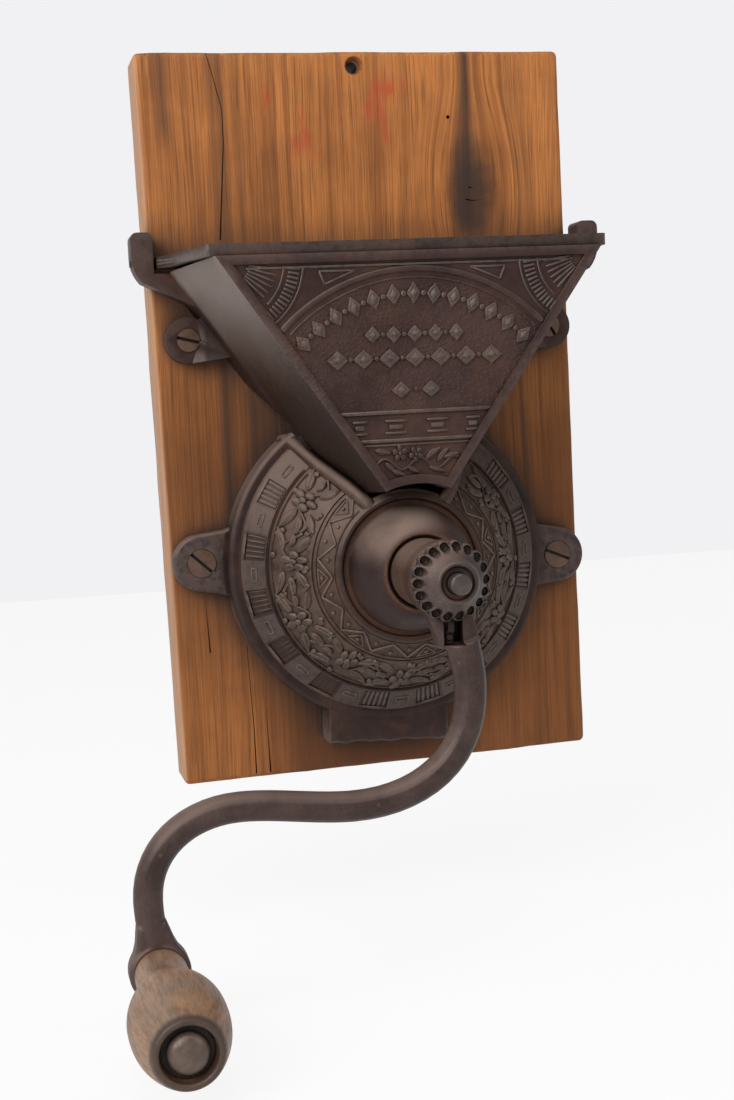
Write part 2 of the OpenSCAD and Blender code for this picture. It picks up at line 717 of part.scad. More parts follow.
module regulator_nut() {
    color("dimgray") on_board() translate([0, 0, eye_d]) difference() {
        rotate_extrude() polygon([[0, 0], [nut_r - 0.8, 0], [nut_r, 0.8], [nut_r, nut_rim - 1],
            [nut_r - 1.4, nut_rim], [nut_r - 2.8, nut_rim], [nut_boss_r + 1.2, nut_h - 2.4],
            [nut_boss_r + 0.2, nut_h - 1.2], [nut_boss_r - 0.6, nut_h], [0, nut_h]]);
        for (i = [0 : scallops - 1]) rotate([0, 0, -90 + 360 * i / scallops])
            translate([nut_r + 0.45, 0, -1]) cylinder(r = scallop_r, h = nut_rim + 4);
        translate([0, 0, -1]) cylinder(d = thread_d + 2 * run_gap, h = nut_h + 2);
        translate([0, 0, nut_h - 1.6]) cylinder(r1 = thread_d / 2, r2 = thread_d / 2 + 1, h = 1.7);
    }
}

module detent_spring() {
    floor_d = eye_d - pocket_deep;
    bend = rivet_at + 2.2;
    color("silver") on_board() difference() {
        union() {
            translate([-leaf_w / 2, -step_r + side_gap, floor_d])
                cube([leaf_w, bend - side_gap + leaf_t, leaf_t]);
            translate([-leaf_w / 2, -step_r + bend, floor_d]) cube([leaf_w, leaf_t, leaf_rise]);
            translate([-leaf_w / 2, -step_r + bend, floor_d + leaf_rise - leaf_t])
                cube([leaf_w, step_r - nut_r - bend + 0.7, leaf_t]);
        }
        translate([0, -step_r + rivet_at, floor_d - 1]) cylinder(d = rivet_d + 2 * pin_gap, h = 4);
    }
}

module detent_rivet() {
    color("slategray") on_board() translate([0, -step_r + rivet_at, eye_d - pocket_deep]) {
        translate([0, 0, -rivet_at]) cylinder(d = rivet_d, h = rivet_at + leaf_t + 0.4);
        translate([0, 0, leaf_t]) cylinder(d1 = rivet_d + 1.2, d2 = rivet_d + 0.2, h = 0.8);
    }
}

module wooden_knob() {
    barrel = [for (i = [0 : 14])
        let (t = i / 14, s = t < knob_peak ? t / knob_peak : (t - knob_peak) / (1 - knob_peak))
        [t < knob_peak ? neck_d / 2 + (knob_d - neck_d) / 2 * pow(sin(90 * s), 1.4)
            : knob_end_d / 2 + (knob_d - knob_end_d) / 2 * sqrt(1 - s * s),
            neck_len + (knob_len - neck_len) * t]];
    color("saddlebrown") on_board() translate([-reach, -drop, knob_d0]) difference() {
        rotate_extrude() polygon(concat([[0, 0], [neck_d / 2 - 0.8, 0], [neck_d / 2, 1]], barrel,
            [[0, knob_len]]));
        translate([0, 0, -1]) cylinder(d = knob_pin_d + 2 * run_gap, h = knob_len + 2);
        translate([0, 0, knob_len - recess_deep]) cylinder(d = recess_d, h = recess_deep + 1);
    }
}

module knob_pin() {
    color("slategray") on_board() translate([-reach, -drop, 0]) {
        translate([0, 0, arm_d - boss_len / 2])
            cylinder(d = knob_pin_d, h = head_d0 - arm_d + boss_len / 2 + 1);
        translate([0, 0, arm_d - boss_len / 2 - 1.6])
            cylinder(d1 = knob_pin_d, d2 = knob_pin_d + 3.4, h = 1.6);
        translate([0, 0, head_d0]) rotate_extrude() polygon(concat([[0, 0], [knob_head_d / 2, 0]],
            [for (i = [0 : 6]) let (a = 90 * i / 6) [knob_head_d / 2 * cos(a), 0.8 + 3.4 * sin(a)]]));
    }
}

module knob_washer() {
    color("slategray") on_board() translate([-reach, -drop, head_d0 - washer_t]) difference() {
        cylinder(d = washer_d, h = washer_t);
        translate([0, 0, -1]) cylinder(d = knob_pin_d + 2 * pin_gap, h = washer_t + 2);
    }
}

// Wood screws

module upper_screws() {
    color("slategray") on_board() for (s = [[-1, -15], [1, -58]])
        translate([s[0] * up_lug_x, up_lug_z, lug_t - screw_len + 6]) wood_screw(up_head_d, up_shank_d, s[1]);
}

module lower_screws() {
    color("slategray") on_board() for (s = [[-1, -41], [1, -21]]) rotate([0, 0, case_turn])
        translate([s[0] * lug_x, 0, lug_t - screw_len + 6])
            wood_screw(low_head_d, low_shank_d, s[1] - case_turn);
}

backboard();
hopper();
hopper_lid();
lid_pins();
grinder_casing();
back_plate();
fixed_burr();
fixed_burr_screws();
runner_burr();
runner_pin();
drive_shaft();
crank();
regulator_nut();
detent_spring();
detent_rivet();
wooden_knob();
knob_pin();
knob_washer();
upper_screws();
lower_screws();
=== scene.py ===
"""Looks of a wall mounted coffee mill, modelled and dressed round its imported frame."""
import logging
import math
from collections.abc import Callable, Iterator, Sequence
from contextlib import contextmanager
from dataclasses import dataclass
from enum import Enum

import bpy
from mathutils import Matrix, Vector, noise


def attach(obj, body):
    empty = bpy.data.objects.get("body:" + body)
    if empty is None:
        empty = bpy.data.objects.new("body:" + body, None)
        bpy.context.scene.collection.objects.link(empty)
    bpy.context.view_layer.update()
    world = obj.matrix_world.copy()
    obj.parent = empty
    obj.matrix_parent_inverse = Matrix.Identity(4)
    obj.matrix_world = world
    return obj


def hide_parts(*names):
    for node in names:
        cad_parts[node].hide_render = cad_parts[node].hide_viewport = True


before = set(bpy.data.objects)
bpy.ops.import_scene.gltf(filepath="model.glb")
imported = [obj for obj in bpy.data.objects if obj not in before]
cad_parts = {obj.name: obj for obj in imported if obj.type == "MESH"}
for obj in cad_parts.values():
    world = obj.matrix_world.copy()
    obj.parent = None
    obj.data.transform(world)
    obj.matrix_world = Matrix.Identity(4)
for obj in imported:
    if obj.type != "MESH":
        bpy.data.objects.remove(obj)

LOG = logging.getLogger("mill")
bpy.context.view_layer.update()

MM = 0.001
BOARD_T = 22.0
CASE_TURN = -2.5
# Pieces are modelled lying on their backs in millimetres: x right, y up the board, z out from its face
STAND = Matrix(((MM, 0, 0, 0), (0, 0, -MM, -BOARD_T * MM), (0, MM, 0, 0), (0, 0, 0, 1)))

Flat = tuple[float, float]
Spot = tuple[float, float, float]
Tone = tuple[float, float, float]
Piece = bpy.types.Object
Socket = bpy.types.NodeSocket
Material = bpy.types.Material
RUST: Tone = (0.11, 0.045, 0.02)


class Joinery(Enum):
    """How a second solid changes the first one."""
    CUT = "DIFFERENCE"
    ADD = "UNION"


class Body(Enum):
    """The bodies that carry the new pieces."""
    MILL = "mill_body"
    LID = "lid"
    CRANK = "crank"
    REGULATOR = "regulator"
    KNOB = "knob"


class Slot(Enum):
    """The material slots of the new pieces."""
    BOARD = "board_pine"
    IRON = "mill_iron"
    CRANK = "crank_iron"
    STEEL = "steel"
    SCREW = "screw_steel"
    KNOB = "knob_wood"


# Modelling by hand

def pick(*objs: Piece) -> None:
    """Selects these objects alone and makes the first one active.

    Args:
        objs: the objects, the active one first.
    """
    bpy.ops.object.select_all(action="DESELECT")
    for obj in objs:
        obj.select_set(True)
    bpy.context.view_layer.objects.active = objs[0]


@contextmanager
def editing(obj: Piece) -> Iterator[None]:
    """Opens one object in edit mode with everything selected, and closes it again.

    Args:
        obj: the object to open.
    """
    pick(obj)
    bpy.ops.object.mode_set(mode="EDIT")
    bpy.ops.mesh.select_mode(type="VERT")
    bpy.ops.mesh.select_all(action="SELECT")
    yield
    bpy.ops.object.mode_set(mode="OBJECT")


def choose_edges(obj: Piece, test: Callable[[bpy.types.MeshEdge], bool]) -> None:
    """Selects in edit mode the edges that pass a test.

    Args:
        obj: the object that is open in edit mode.
        test: takes one edge and says if it is wanted.
    """
    bpy.ops.mesh.select_mode(type="EDGE")
    bpy.ops.mesh.select_all(action="DESELECT")
    bpy.ops.object.mode_set(mode="OBJECT")
    for edge in obj.data.edges:
        edge.select = test(edge)
    bpy.ops.object.mode_set(mode="EDIT")


def outline(name: str, points: Sequence[Sequence[float]], filled: bool = True) -> Piece:
    """Draws a closed line, with or without a face in it.

    Args:
        name: name of the new object.
        points: corners in order, flat or in space.
        filled: whether the line gets a face.

    Returns:
        The new object.
    """
    bpy.ops.object.select_all(action="DESELECT")
    fill = "NGON" if filled else "NOTHING"
    bpy.ops.mesh.primitive_circle_add(vertices=len(points), radius=1.0, fill_type=fill)
    obj = bpy.context.object
    obj.name = name
    for vertex, point in zip(obj.data.vertices, points):
        vertex.co = (point[0], point[1], point[2] if len(point) > 2 else 0.0)
    return obj


def plate(name: str, points: Sequence[Flat], height: float, edge: float = 0.0, base: float = 0.0,
          segments: int = 2) -> Piece:
    """Extrudes a flat outline and rounds the edge of its top.

    Args:
        name: name of the new object.
        points: the outline.
        height: how far the top stands above base.
        edge: rounding of the top edge.
        base: level of the underside.
        segments: steps of the rounding.

    Returns:
        The new solid.
    """
    obj = outline(name, [(p[0], p[1], base) for p in points])
    with editing(obj):
        bpy.ops.mesh.extrude_region_move(TRANSFORM_OT_translate={"value": (0, 0, height)})
        if edge:
            bpy.ops.mesh.bevel(offset=edge, segments=segments, affect="EDGES")
        bpy.ops.mesh.select_all(action="SELECT")
        bpy.ops.mesh.normals_make_consistent(inside=False)
    return obj


def lathe(name: str, profile: Sequence[Flat], steps: int, closed: bool = False) -> Piece:
    """Spins a profile of (radius, height) points about the z axis.

    Args:
        name: name of the new object.
        profile: the line to spin.
        steps: steps of the full turn.
        closed: whether the last point joins the first one.

    Returns:
        The turned solid.
    """
    obj = outline(name, [(r, 0.0, z) for r, z in profile], filled=False)
    last = len(profile) - 1
    with editing(obj):
        if not closed:
            choose_edges(obj, lambda e: set(e.vertices) == {0, last})
            bpy.ops.mesh.delete(type="EDGE")
        bpy.ops.mesh.select_mode(type="VERT")
        bpy.ops.mesh.select_all(action="SELECT")
        bpy.ops.mesh.spin(steps=steps, angle=math.tau, center=(0, 0, 0), axis=(0, 0, 1))
        bpy.ops.mesh.select_all(action="SELECT")
        bpy.ops.mesh.remove_doubles(threshold=0.002)
        bpy.ops.mesh.normals_make_consistent(inside=False)
    return obj


def rod(name: str, radius: float, low: float, high: float, at: Flat = (0.0, 0.0), sides: int = 64,
        edge: float = 0.0) -> Piece:
    """Turns a plain round bar that stands along z, with an optional rounding of both ends.

    Args:
        name: name of the new object.
        radius: radius of the bar.
        low: level of its foot.
        high: level of its top.
        at: where its axis stands.
        sides: steps of the full turn.
        edge: bevel of both ends.

    Returns:
        The bar.
    """
    r = radius
    profile = [(0.0, low), (r - edge, low), (r, low + edge), (r, high - edge), (r - edge, high), (0.0, high)]
    if not edge:
        profile = [(0.0, low), (r, low), (r, high), (0.0, high)]
    obj = lathe(name, profile, sides)
    shift(obj, (at[0], at[1], 0.0))
    return obj


def tube(name: str, path: Sequence[Vector], radii: Sequence[float]) -> Piece:
    """Makes a round bar along a path, closed with rounded ends.

    Args:
        name: name of the new object.
        path: points of the middle line.
        radii: radius at each point.

    Returns:
        The bar as a mesh.
    """
    bpy.ops.object.select_all(action="DESELECT")
    bpy.ops.curve.primitive_nurbs_path_add()
    obj = bpy.context.object
    obj.name = name
    curve = obj.data
    curve.splines.clear()
    spline = curve.splines.new("POLY")
    spline.points.add(len(path) - 1)
    for point, place, radius in zip(spline.points, path, radii):
        point.co = (*place, 1.0)
        point.radius = radius
    curve.dimensions = "3D"
    curve.bevel_depth = 1.0
    curve.bevel_resolution = 6
    curve.use_fill_caps = True
    pick(obj)
    bpy.ops.object.convert(target="MESH")
    obj = bpy.context.object
    with editing(obj):
        bpy.ops.mesh.remove_doubles(threshold=0.0005)
        bpy.ops.mesh.normals_make_consistent(inside=False)
    return obj


def shift(obj: Piece, by: Spot) -> None:
    """Moves the mesh of an object."""
    with editing(obj):
        bpy.ops.transform.translate(value=by)


def block(name: str, corners: Sequence[Spot]) -> Piece:
    """Makes a cube whose eight corners are moved to these places.

    Args:
        name: name of the new object.
        corners: low left, low right, high right and high left of the underside, then the same of the top.

    Returns:
        The block.
    """
    obj = outline(name, corners[:4])
    with editing(obj):
        bpy.ops.mesh.extrude_region_move(TRANSFORM_OT_translate={"value": (0, 0, 1)})
    for vertex in obj.data.vertices[4:]:
        near = min(range(4), key=lambda i: (Vector(corners[i][:2]) - vertex.co.xy).length)
        vertex.co = corners[4 + near]
    with editing(obj):
        bpy.ops.mesh.normals_make_consistent(inside=False)
    return obj


def carve(obj: Piece, other: Piece, how: Joinery = Joinery.CUT) -> Piece:
    """Changes one solid by another, which is used up.

    Args:
        obj: the solid that is changed.
        other: the solid that changes it.
        how: whether it is cut out or added.

    Returns:
        The changed solid.
    """
    mod = obj.modifiers.new("carve", "BOOLEAN")
    mod.object = other
    mod.operation = how.value
    mod.solver = "MANIFOLD"
    apply(obj, mod)
    bpy.data.objects.remove(other)
    return obj


def apply(obj: Piece, mod: bpy.types.Modifier) -> None:
    """Applies one modifier."""
    pick(obj)
    bpy.ops.object.modifier_apply(modifier=mod.name)


def soften(obj: Piece, width: float, segments: int = 2, angle: float = 32.0) -> Piece:
    """Rounds the sharp edges of a piece.

    Args:
        obj: the piece.
        width: width of the rounding, in the units of the mesh.
        segments: steps of the rounding.
        angle: edges sharper than this are rounded, in degrees.

    Returns:
        The same piece.
    """
    mod = obj.modifiers.new("soften", "BEVEL")
    mod.width = width
    mod.segments = segments
    mod.limit_method = "ANGLE"
    mod.angle_limit = math.radians(angle)
    mod.miter_outer = "MITER_ARC"
    apply(obj, mod)
    return obj


def join(name: str, objs: Sequence[Piece]) -> Piece:
    """Joins objects into one.

    Args:
        name: name of the result.
        objs: the objects.

    Returns:
        The joined object.
    """
    pick(*objs)
    bpy.ops.object.join()
    obj = bpy.context.object
    obj.name = name
    return obj


def fuse(name: str, objs: Sequence[Piece], voxel: float, passes: int) -> Piece:
    """Melts solids that run into each other into one skin with soft inner corners.

    Args:
        name: name of the result.
        objs: the solids.
        voxel: grid step of the skin.
        passes: how often the skin is smoothed.

    Returns:
        The fused piece.
    """
    obj = join(name, objs)
    mod = obj.modifiers.new("skin", "REMESH")
    mod.mode = "VOXEL"
    mod.voxel_size = voxel
    apply(obj, mod)
    mod = obj.modifiers.new("relax", "SMOOTH")
    mod.factor = 0.5
    mod.iterations = passes
    apply(obj, mod)
    return obj


def smooth(obj: Piece, angle: float = 38.0) -> Piece:
    """Shades a piece smooth apart from its sharp edges.

    Args:
        obj: the piece.
        angle: edges sharper than this stay sharp, in degrees.

    Returns:
        The same piece.
    """
    pick(obj)
    bpy.ops.object.shade_smooth_by_angle(angle=math.radians(angle))
    return obj


def stand(obj: Piece, turn: float = 0.0) -> Piece:
    """Stands a lying piece against the wall, in metres, with its place in its mesh.

    Args:
        obj: the lying piece, in millimetres.
        turn: turn about the shaft first, in degrees.

    Returns:
        The same piece.
    """
    obj.matrix_world = STAND @ Matrix.Rotation(math.radians(turn), 4, "Z")
    pick(obj)
    bpy.ops.object.transform_apply(location=True, rotation=True, scale=True)
    return obj


def cad_copy(node: str, name: str) -> Piece:
    """Copies a node of the frame and merges its loose triangles into clean faces.

    Args:
        node: name of the node.
        name: name of the copy.

    Returns:
        The copy, in metres.
    """
    obj = bpy.data.objects.new(name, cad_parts[node].data.copy())
    bpy.context.collection.objects.link(obj)
    with editing(obj):
        bpy.ops.mesh.remove_doubles(threshold=0.00002)
        bpy.ops.mesh.dissolve_limited(angle_limit=math.radians(0.5))
    return obj


def settle(obj: Piece, body: Body, finish: Material, slot: Slot, *nodes: str) -> None:
    """Gives a piece its finish, its body and the nodes that it stands for.

    Args:
        obj: the piece, in its place.
        body: the body that carries it.
        finish: its material.
        slot: its material slot; not used.
        nodes: nodes of the frame that the piece replaces.
    """
    obj.data.materials.clear()
    obj.data.materials.append(finish)
    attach(obj, body.value)
    if nodes:
        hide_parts(*nodes)
    LOG.info("%s: %d faces on %s", obj.name, len(obj.data.polygons), body.value)


# Drawing lines

def arc(cx: float, cy: float, r: float, start: float, end: float, n: int) -> list[Flat]:
    """Points of an arc, with angles in degrees."""
    angles = [math.radians(start + (end - start) * i / n) for i in range(n + 1)]
    return [(cx + r * math.cos(a), cy + r * math.sin(a)) for a in angles]


def turned(points: Sequence[Flat], cx: float, cy: float, turn: float) -> list[Flat]:
    """Turns points about zero by an angle in degrees, then moves zero to a place."""
    c, s = math.cos(math.radians(turn)), math.sin(math.radians(turn))
    return [(cx + x * c - y * s, cy + x * s + y * c) for x, y in points]


def ring(cx: float, cy: float, rx: float, ry: float, n: int, turn: float = 0.0) -> list[Flat]:
    """Points of a closed oval that is turned by an angle in degrees."""
    raw = [(rx * math.cos(math.tau * i / n), ry * math.sin(math.tau * i / n)) for i in range(n)]
    return turned(raw, cx, cy, turn)


def box(cx: float, cy: float, w: float, h: float) -> list[Flat]:
    """Corners of an upright rectangle."""
    return [(cx + i * w / 2, cy + j * h / 2) for i, j in ((-1, -1), (1, -1), (1, 1), (-1, 1))]


def lozenge(cx: float, cy: float, w: float, h: float, turn: float = 0.0) -> list[Flat]:
    """Corners of a diamond."""
    return ring(cx, cy, w / 2, h / 2, 4, turn)


def leaf(cx: float, cy: float, length: float, width: float, turn: float) -> list[Flat]:
    """A pointed leaf that starts at a place and grows along an angle in degrees.

    Args:
        cx: where it starts, sideways.
        cy: where it starts, upwards.
        length: length of the leaf.
        width: its greatest width.
        turn: the angle along which it grows.

    Returns:
        The outline.
    """
    shares = (0.08, 0.25, 0.45, 0.65, 0.83)
    half = [(length * t, width / 2 * math.sin(math.pi * t ** 0.8) ** 0.9) for t in shares]
    raw = [(0.0, 0.0)] + [(x, -y) for x, y in half] + [(length, 0.0)] + half[::-1]
    return turned(raw, cx, cy, turn)


def stroke(path: Sequence[Flat], width: float) -> list[Flat]:
    """Outline of a line of even width that follows a path.

    Args:
        path: points of the middle line.
        width: width of the line.

    Returns:
        The closed outline.
    """
    left, right = [], []
    for i, point in enumerate(path):
        before = Vector(path[max(i - 1, 0)])
        after = Vector(path[min(i + 1, len(path) - 1)])
        way = (after - before).normalized()
        side = Vector((-way.y, way.x)) * width / 2
        if 0 < i < len(path) - 1:
            bend = (Vector(point) - before).normalized().dot(way)
            side = side / max(bend, 0.5)
        left.append(tuple(Vector(point) + side))
        right.append(tuple(Vector(point) - side))
    return right + left[::-1]


# Finishes

class Paint:
    """Adds nodes to one material and links them."""

    def __init__(self, name: str) -> None:
        """Starts a material with a Principled shader.

        Args:
            name: name of the material.
        """
        self.material = bpy.data.materials.new(name)
        self.material.use_nodes = True
        self.tree = self.material.node_tree
        self.shader = self.tree.nodes["Principled BSDF"]
        self.place = self.tree.nodes.new("ShaderNodeTexCoord").outputs["Object"]

    def put(self, socket: Socket, value: object) -> None:
        """Sets a socket, or links it where the value is a socket.

        Args:
            socket: the input to set.
            value: a number, a tone, a socket or nothing.
        """
        if isinstance(value, Socket):
            self.tree.links.new(value, socket)
        elif value is not None:
            if isinstance(value, tuple) and len(value) == 3 and socket.type == "RGBA":
                value = (*value, 1.0)
            socket.default_value = value

    def stretch(self, scale: Spot, turn: Spot = (0, 0, 0)) -> Socket:
        """Object coordinates that are turned and stretched.

        Args:
            scale: stretch along each axis.
            turn: turn about each axis, in radians.

        Returns:
            The changed coordinates.
        """
        node = self.tree.nodes.new("ShaderNodeMapping")
        self.put(node.inputs["Vector"], self.place)
        node.inputs["Rotation"].default_value = turn
        node.inputs["Scale"].default_value = scale
        return node.outputs["Vector"]

    def axes(self) -> tuple[Socket, ...]:
        """The x, y and z of the object coordinates.

        Returns:
            Three sockets.
        """
        node = self.tree.nodes.new("ShaderNodeSeparateXYZ")
        self.put(node.inputs[0], self.place)
        return node.outputs[0], node.outputs[1], node.outputs[2]

    def facing(self, way: Spot) -> Socket:
        """How far the surface looks the given way, from -1 to 1.

        Args:
            way: the direction to compare with.

        Returns:
            The share as a socket.
        """
        node = self.tree.nodes.new("ShaderNodeVectorMath")
        node.operation = "DOT_PRODUCT"
        self.put(node.inputs[0], self.place.node.outputs["Normal"])
        node.inputs[1].default_value = way
        return node.outputs["Value"]

    def noise(self, scale: float, detail: float = 4.0, rough: float = 0.6, where: object = None,
              warp: float = 0.0) -> Socket:
        """Cloudy noise from 0 to 1.

        Args:
            scale: how fine the noise is.
            detail: layers of finer noise.
            rough: strength of the finer layers.
            where: other coordinates than the object's.
            warp: how far the noise is bent by itself.

        Returns:
            The noise as a socket.
        """
        node = self.tree.nodes.new("ShaderNodeTexNoise")
        self.put(node.inputs["Vector"], where or self.place)
        node.inputs["Scale"].default_value = scale
        node.inputs["Detail"].default_value = detail
        node.inputs["Roughness"].default_value = rough
        node.inputs["Distortion"].default_value = warp
        return node.outputs["Fac"]

    def cells(self, scale: float) -> Socket:
        """Distance to the nearest of scattered points.

        Args:
            scale: how close the points are.

        Returns:
            The distance as a socket.
        """
        node = self.tree.nodes.new("ShaderNodeTexVoronoi")
        self.put(node.inputs["Vector"], self.place)
        node.inputs["Scale"].default_value = scale
        return node.outputs["Distance"]

    def sum(self, how: str, a: object, b: object = 0.0, c: object = 0.0) -> Socket:
        """One arithmetic step.

        Args:
            how: name of the operation.
            a: first value.
            b: second value.
            c: third value.

        Returns:
            The result as a socket.
        """
        node = self.tree.nodes.new("ShaderNodeMath")
        node.operation = how
        for socket, value in zip(node.inputs, (a, b, c)):
            self.put(socket, value)
        return node.outputs[0]

    def times(self, a: object, b: object) -> Socket:
        """One value times another."""
        return self.sum("MULTIPLY", a, b)

    def sway(self, value: object, by: object, size: float) -> Socket:
        """A value that a noise moves to both sides."""
        return self.sum("MULTIPLY_ADD", self.sum("SUBTRACT", by, 0.5), size, value)

    def length(self, a: object, b: object) -> Socket:
        """The long side over two offsets at a right angle."""
        return self.sum("SQRT", self.sum("MULTIPLY_ADD", a, a, self.times(b, b)))

    def range(self, value: object, low: float, high: float, to_low: float = 0.0,
              to_high: float = 1.0) -> Socket:
        """Maps a range smoothly onto another one and holds its ends.

        Args:
            value: the value to map.
            low: start of its range.
            high: end of its range.
            to_low: result at the start.
            to_high: result at the end.

        Returns:
            The result as a socket.
        """
        node = self.tree.nodes.new("ShaderNodeMapRange")
        node.interpolation_type = "SMOOTHSTEP"
        for socket, item in zip(node.inputs, (value, low, high, to_low, to_high)):
            self.put(socket, item)
        return node.outputs[0]

    def mix(self, share: object, a: object, b: object) -> Socket:
        """Mixes two colours.

        Args:
            share: share of the second colour.
            a: first colour.
            b: second colour.

        Returns:
            The mixed colour as a socket.
        """
        node = self.tree.nodes.new("ShaderNodeMix")
        node.data_type = "RGBA"
        for socket, value in zip((node.inputs[0], node.inputs[6], node.inputs[7]), (share, a, b)):
            self.put(socket, value)
        return node.outputs[2]

    def cavity(self, reach: float) -> Socket:
        """How open the surface is, from 0 in a corner to 1.

        Args:
            reach: how far corners are felt, in metres.

        Returns:
            The openness as a socket.
        """
        node = self.tree.nodes.new("ShaderNodeAmbientOcclusion")
        node.samples = 8
        node.inputs["Distance"].default_value = reach
        return node.outputs["AO"]

    def ridge(self) -> Socket:
        """How pointed the surface is, from 0 in a groove to 1 on an edge."""
        return self.tree.nodes.new("ShaderNodeNewGeometry").outputs["Pointiness"]

    def bump(self, height: Socket, strength: float, depth: float) -> None:
        """Gives the shader a fine relief; depth in metres.

        Args:
            height: the relief.
            strength: how clearly it shows.
            depth: depth of the relief, in metres.
        """
        node = self.tree.nodes.new("ShaderNodeBump")
        node.inputs["Strength"].default_value = strength
        node.inputs["Distance"].default_value = depth
        self.put(node.inputs["Height"], height)
        self.put(self.shader.inputs["Normal"], node.outputs["Normal"])

    def finish(self, colour: object, rough: object, metal: float, gloss: float = 0.5) -> Material:
        """Sets the shader and hands the material over.

        Args:
            colour: base colour.
            rough: roughness.
            metal: share of metal.
            gloss: strength of reflections.

        Returns:
            The material.
        """
        self.put(self.shader.inputs["Base Color"], colour)
        self.put(self.shader.inputs["Roughness"], rough)
        self.shader.inputs["Metallic"].default_value = metal
        self.shader.inputs["Specular IOR Level"].default_value = gloss
        return self.material


@dataclass(frozen=True)
class Tint:
    """A ring of another tone round the shaft: its radii, its ends along the shaft, share and tone."""
    inner: float
    outer: float
    back: float
    front: float
    share: float
    tone: Tone


@dataclass(frozen=True)
class CastIron:
    """Old cast iron with a warm brown patina, dark pits, painted shade in its corners, worn edges, and a
    pale tone on faces turned to the light that is partly dusting and partly a painted highlight.
    """
    name: str
    dark: Tone
    pale: Tone
    rust: Tone = RUST
    # dark tone of the pits, and of the painted shade in corners and hollows
    dirt_and_shade: Tone = (0.011, 0.007, 0.006)
    # pale tone of the worn edges, and of the painted reflection on the upper part of the hopper's left flank
    rubbed_and_sheen: Tone = (0.2, 0.16, 0.14)
    foot: Tone = (0.022, 0.011, 0.008)
    # pale tone on faces turned to the light: partly dusting, partly a painted highlight
    dust_and_highlight: Tone = (0.235, 0.163, 0.132)
    dust_and_highlight_share: float = 0.85
    edges: float = 0.6
    rust_share: float = 0.35
    rough: Flat = (0.42, 0.62)
    grain: float = 0.35
    depth: float = 0.0004
    reach: float = 0.005
    metal: float = 0.15
    gloss: float = 0.2
    # direction of the light: faces turned this way get the pale tone, a painted highlight mixed with dusting
    light: Spot = (-0.4, -0.35, 0.85)
    rings: tuple[Tint, ...] = ()
    # Soft edges of the rings: inside, outside and along the shaft
    soft: Spot = (0.0004, 0.0008, 0.0006)
    # On the hopper alone: where its left flank, its tails and its stippled field begin and end
    plate: bool = False
    flank_y: Flat = (-0.034, -0.039)
    tail_x: Flat = (0.0655, 0.0635)
    tail_y: Flat = (-0.036, -0.033)
    field_y: Flat = (-0.081, -0.0835)
    field_z: Flat = (0.057, 0.0576)
    field_r: Flat = (0.0624, 0.0618)
    arch_z: float = 0.0407

    def make(self) -> Material:
        """Builds the material.

        Returns:
            The material.
        """
        p = Paint(self.name)
        broad = p.noise(38.0, 5.0, 0.62)
        mottle = p.noise(310.0, 5.0, 0.68)
        sand = p.noise(1700.0, 3.0, 0.6)
        cloud = p.sum("MULTIPLY_ADD", mottle, 0.22, p.times(broad, 0.78))
        tone = p.range(cloud, 0.34, 0.66)
        colour = p.mix(tone, self.dark, self.pale)
        stain = p.range(p.noise(70.0, 6.0, 0.7, warp=0.6), 0.5, 0.72, 0.0, self.rust_share)
        colour = p.mix(stain, colour, self.rust)
        pits = p.range(sand, 0.3, 0.62)
        colour = p.mix(p.range(pits, 0.0, 1.0, 0.22, 0.0), colour, self.dirt_and_shade)
        colour = self.tint(p, colour, mottle)
        # painted highlight: faces turned to the light are paled in patches, together with a dusting
        top = p.range(p.facing(self.light), 0.55, 1.0, 0.0, self.dust_and_highlight_share)
        colour = p.mix(p.times(top, p.range(broad, 0.3, 0.6, 0.6, 1.0)), colour, self.dust_and_highlight)
        air = p.cavity(self.reach)
        nook = p.times(p.range(air, 0.9, 0.55), p.range(broad, 0.42, 0.6, 0.0, 0.75))
        colour = p.mix(nook, colour, self.rust)
        edge = p.range(p.ridge(), 0.51, 0.6, 0.0, self.edges)
        colour = p.mix(p.times(edge, p.range(mottle, 0.3, 0.6, 0.4, 1.0)), colour, self.rubbed_and_sheen)
        # painted shade: closed-in corners and hollows are darkened
        colour = p.mix(p.range(air, 0.8, 0.25), colour, self.dirt_and_shade)
        rough = p.range(cloud, 0.36, 0.64, *self.rough)
        relief = p.sum("MULTIPLY_ADD", mottle, 0.7, p.times(sand, 0.5))
        if self.plate:
            relief = p.sum("ADD", relief, self.stipple(p))
            colour = self.flank(p, colour)
        p.bump(relief, self.grain, self.depth)
        return p.finish(colour, rough, self.metal, self.gloss)

    def tint(self, p: Paint, colour: Socket, cloud: Socket) -> Socket:
        """Tints the rings round the shaft.

        Args:
            p: the material that is being painted.
            colour: the colour so far.
            cloud: noise that breaks the tone up.

        Returns:
            The tinted colour.
        """
        x, y, z = p.axes()
        reach = p.length(x, z)
        inside, outside, ends = self.soft
        for tint in self.rings:
            within = p.range(reach, tint.outer + outside, tint.outer)
            across = p.times(p.range(reach, tint.inner - inside, tint.inner), within)
            before = p.range(y, tint.front - ends, tint.front)
            along = p.times(p.range(y, tint.back + ends, tint.back), before)
            patch = p.range(cloud, 0.36, 0.6, tint.share * 0.3, tint.share)
            colour = p.mix(p.times(patch, p.times(across, along)), colour, tint.tone)
        return colour

    def flank(self, p: Paint, colour: Socket) -> Socket:
        """The left flank of the hopper: pale at its top, where a painted reflection is laid on, and dark
        brown at its foot.

        Args:
            p: the material that is being painted.
            colour: the colour so far.

        Returns:
            The changed colour.
        """
        x, y, z = p.axes()
        left = p.times(p.range(p.facing((-1, 0, 0)), 0.45, 0.7), p.range(y, *self.flank_y))
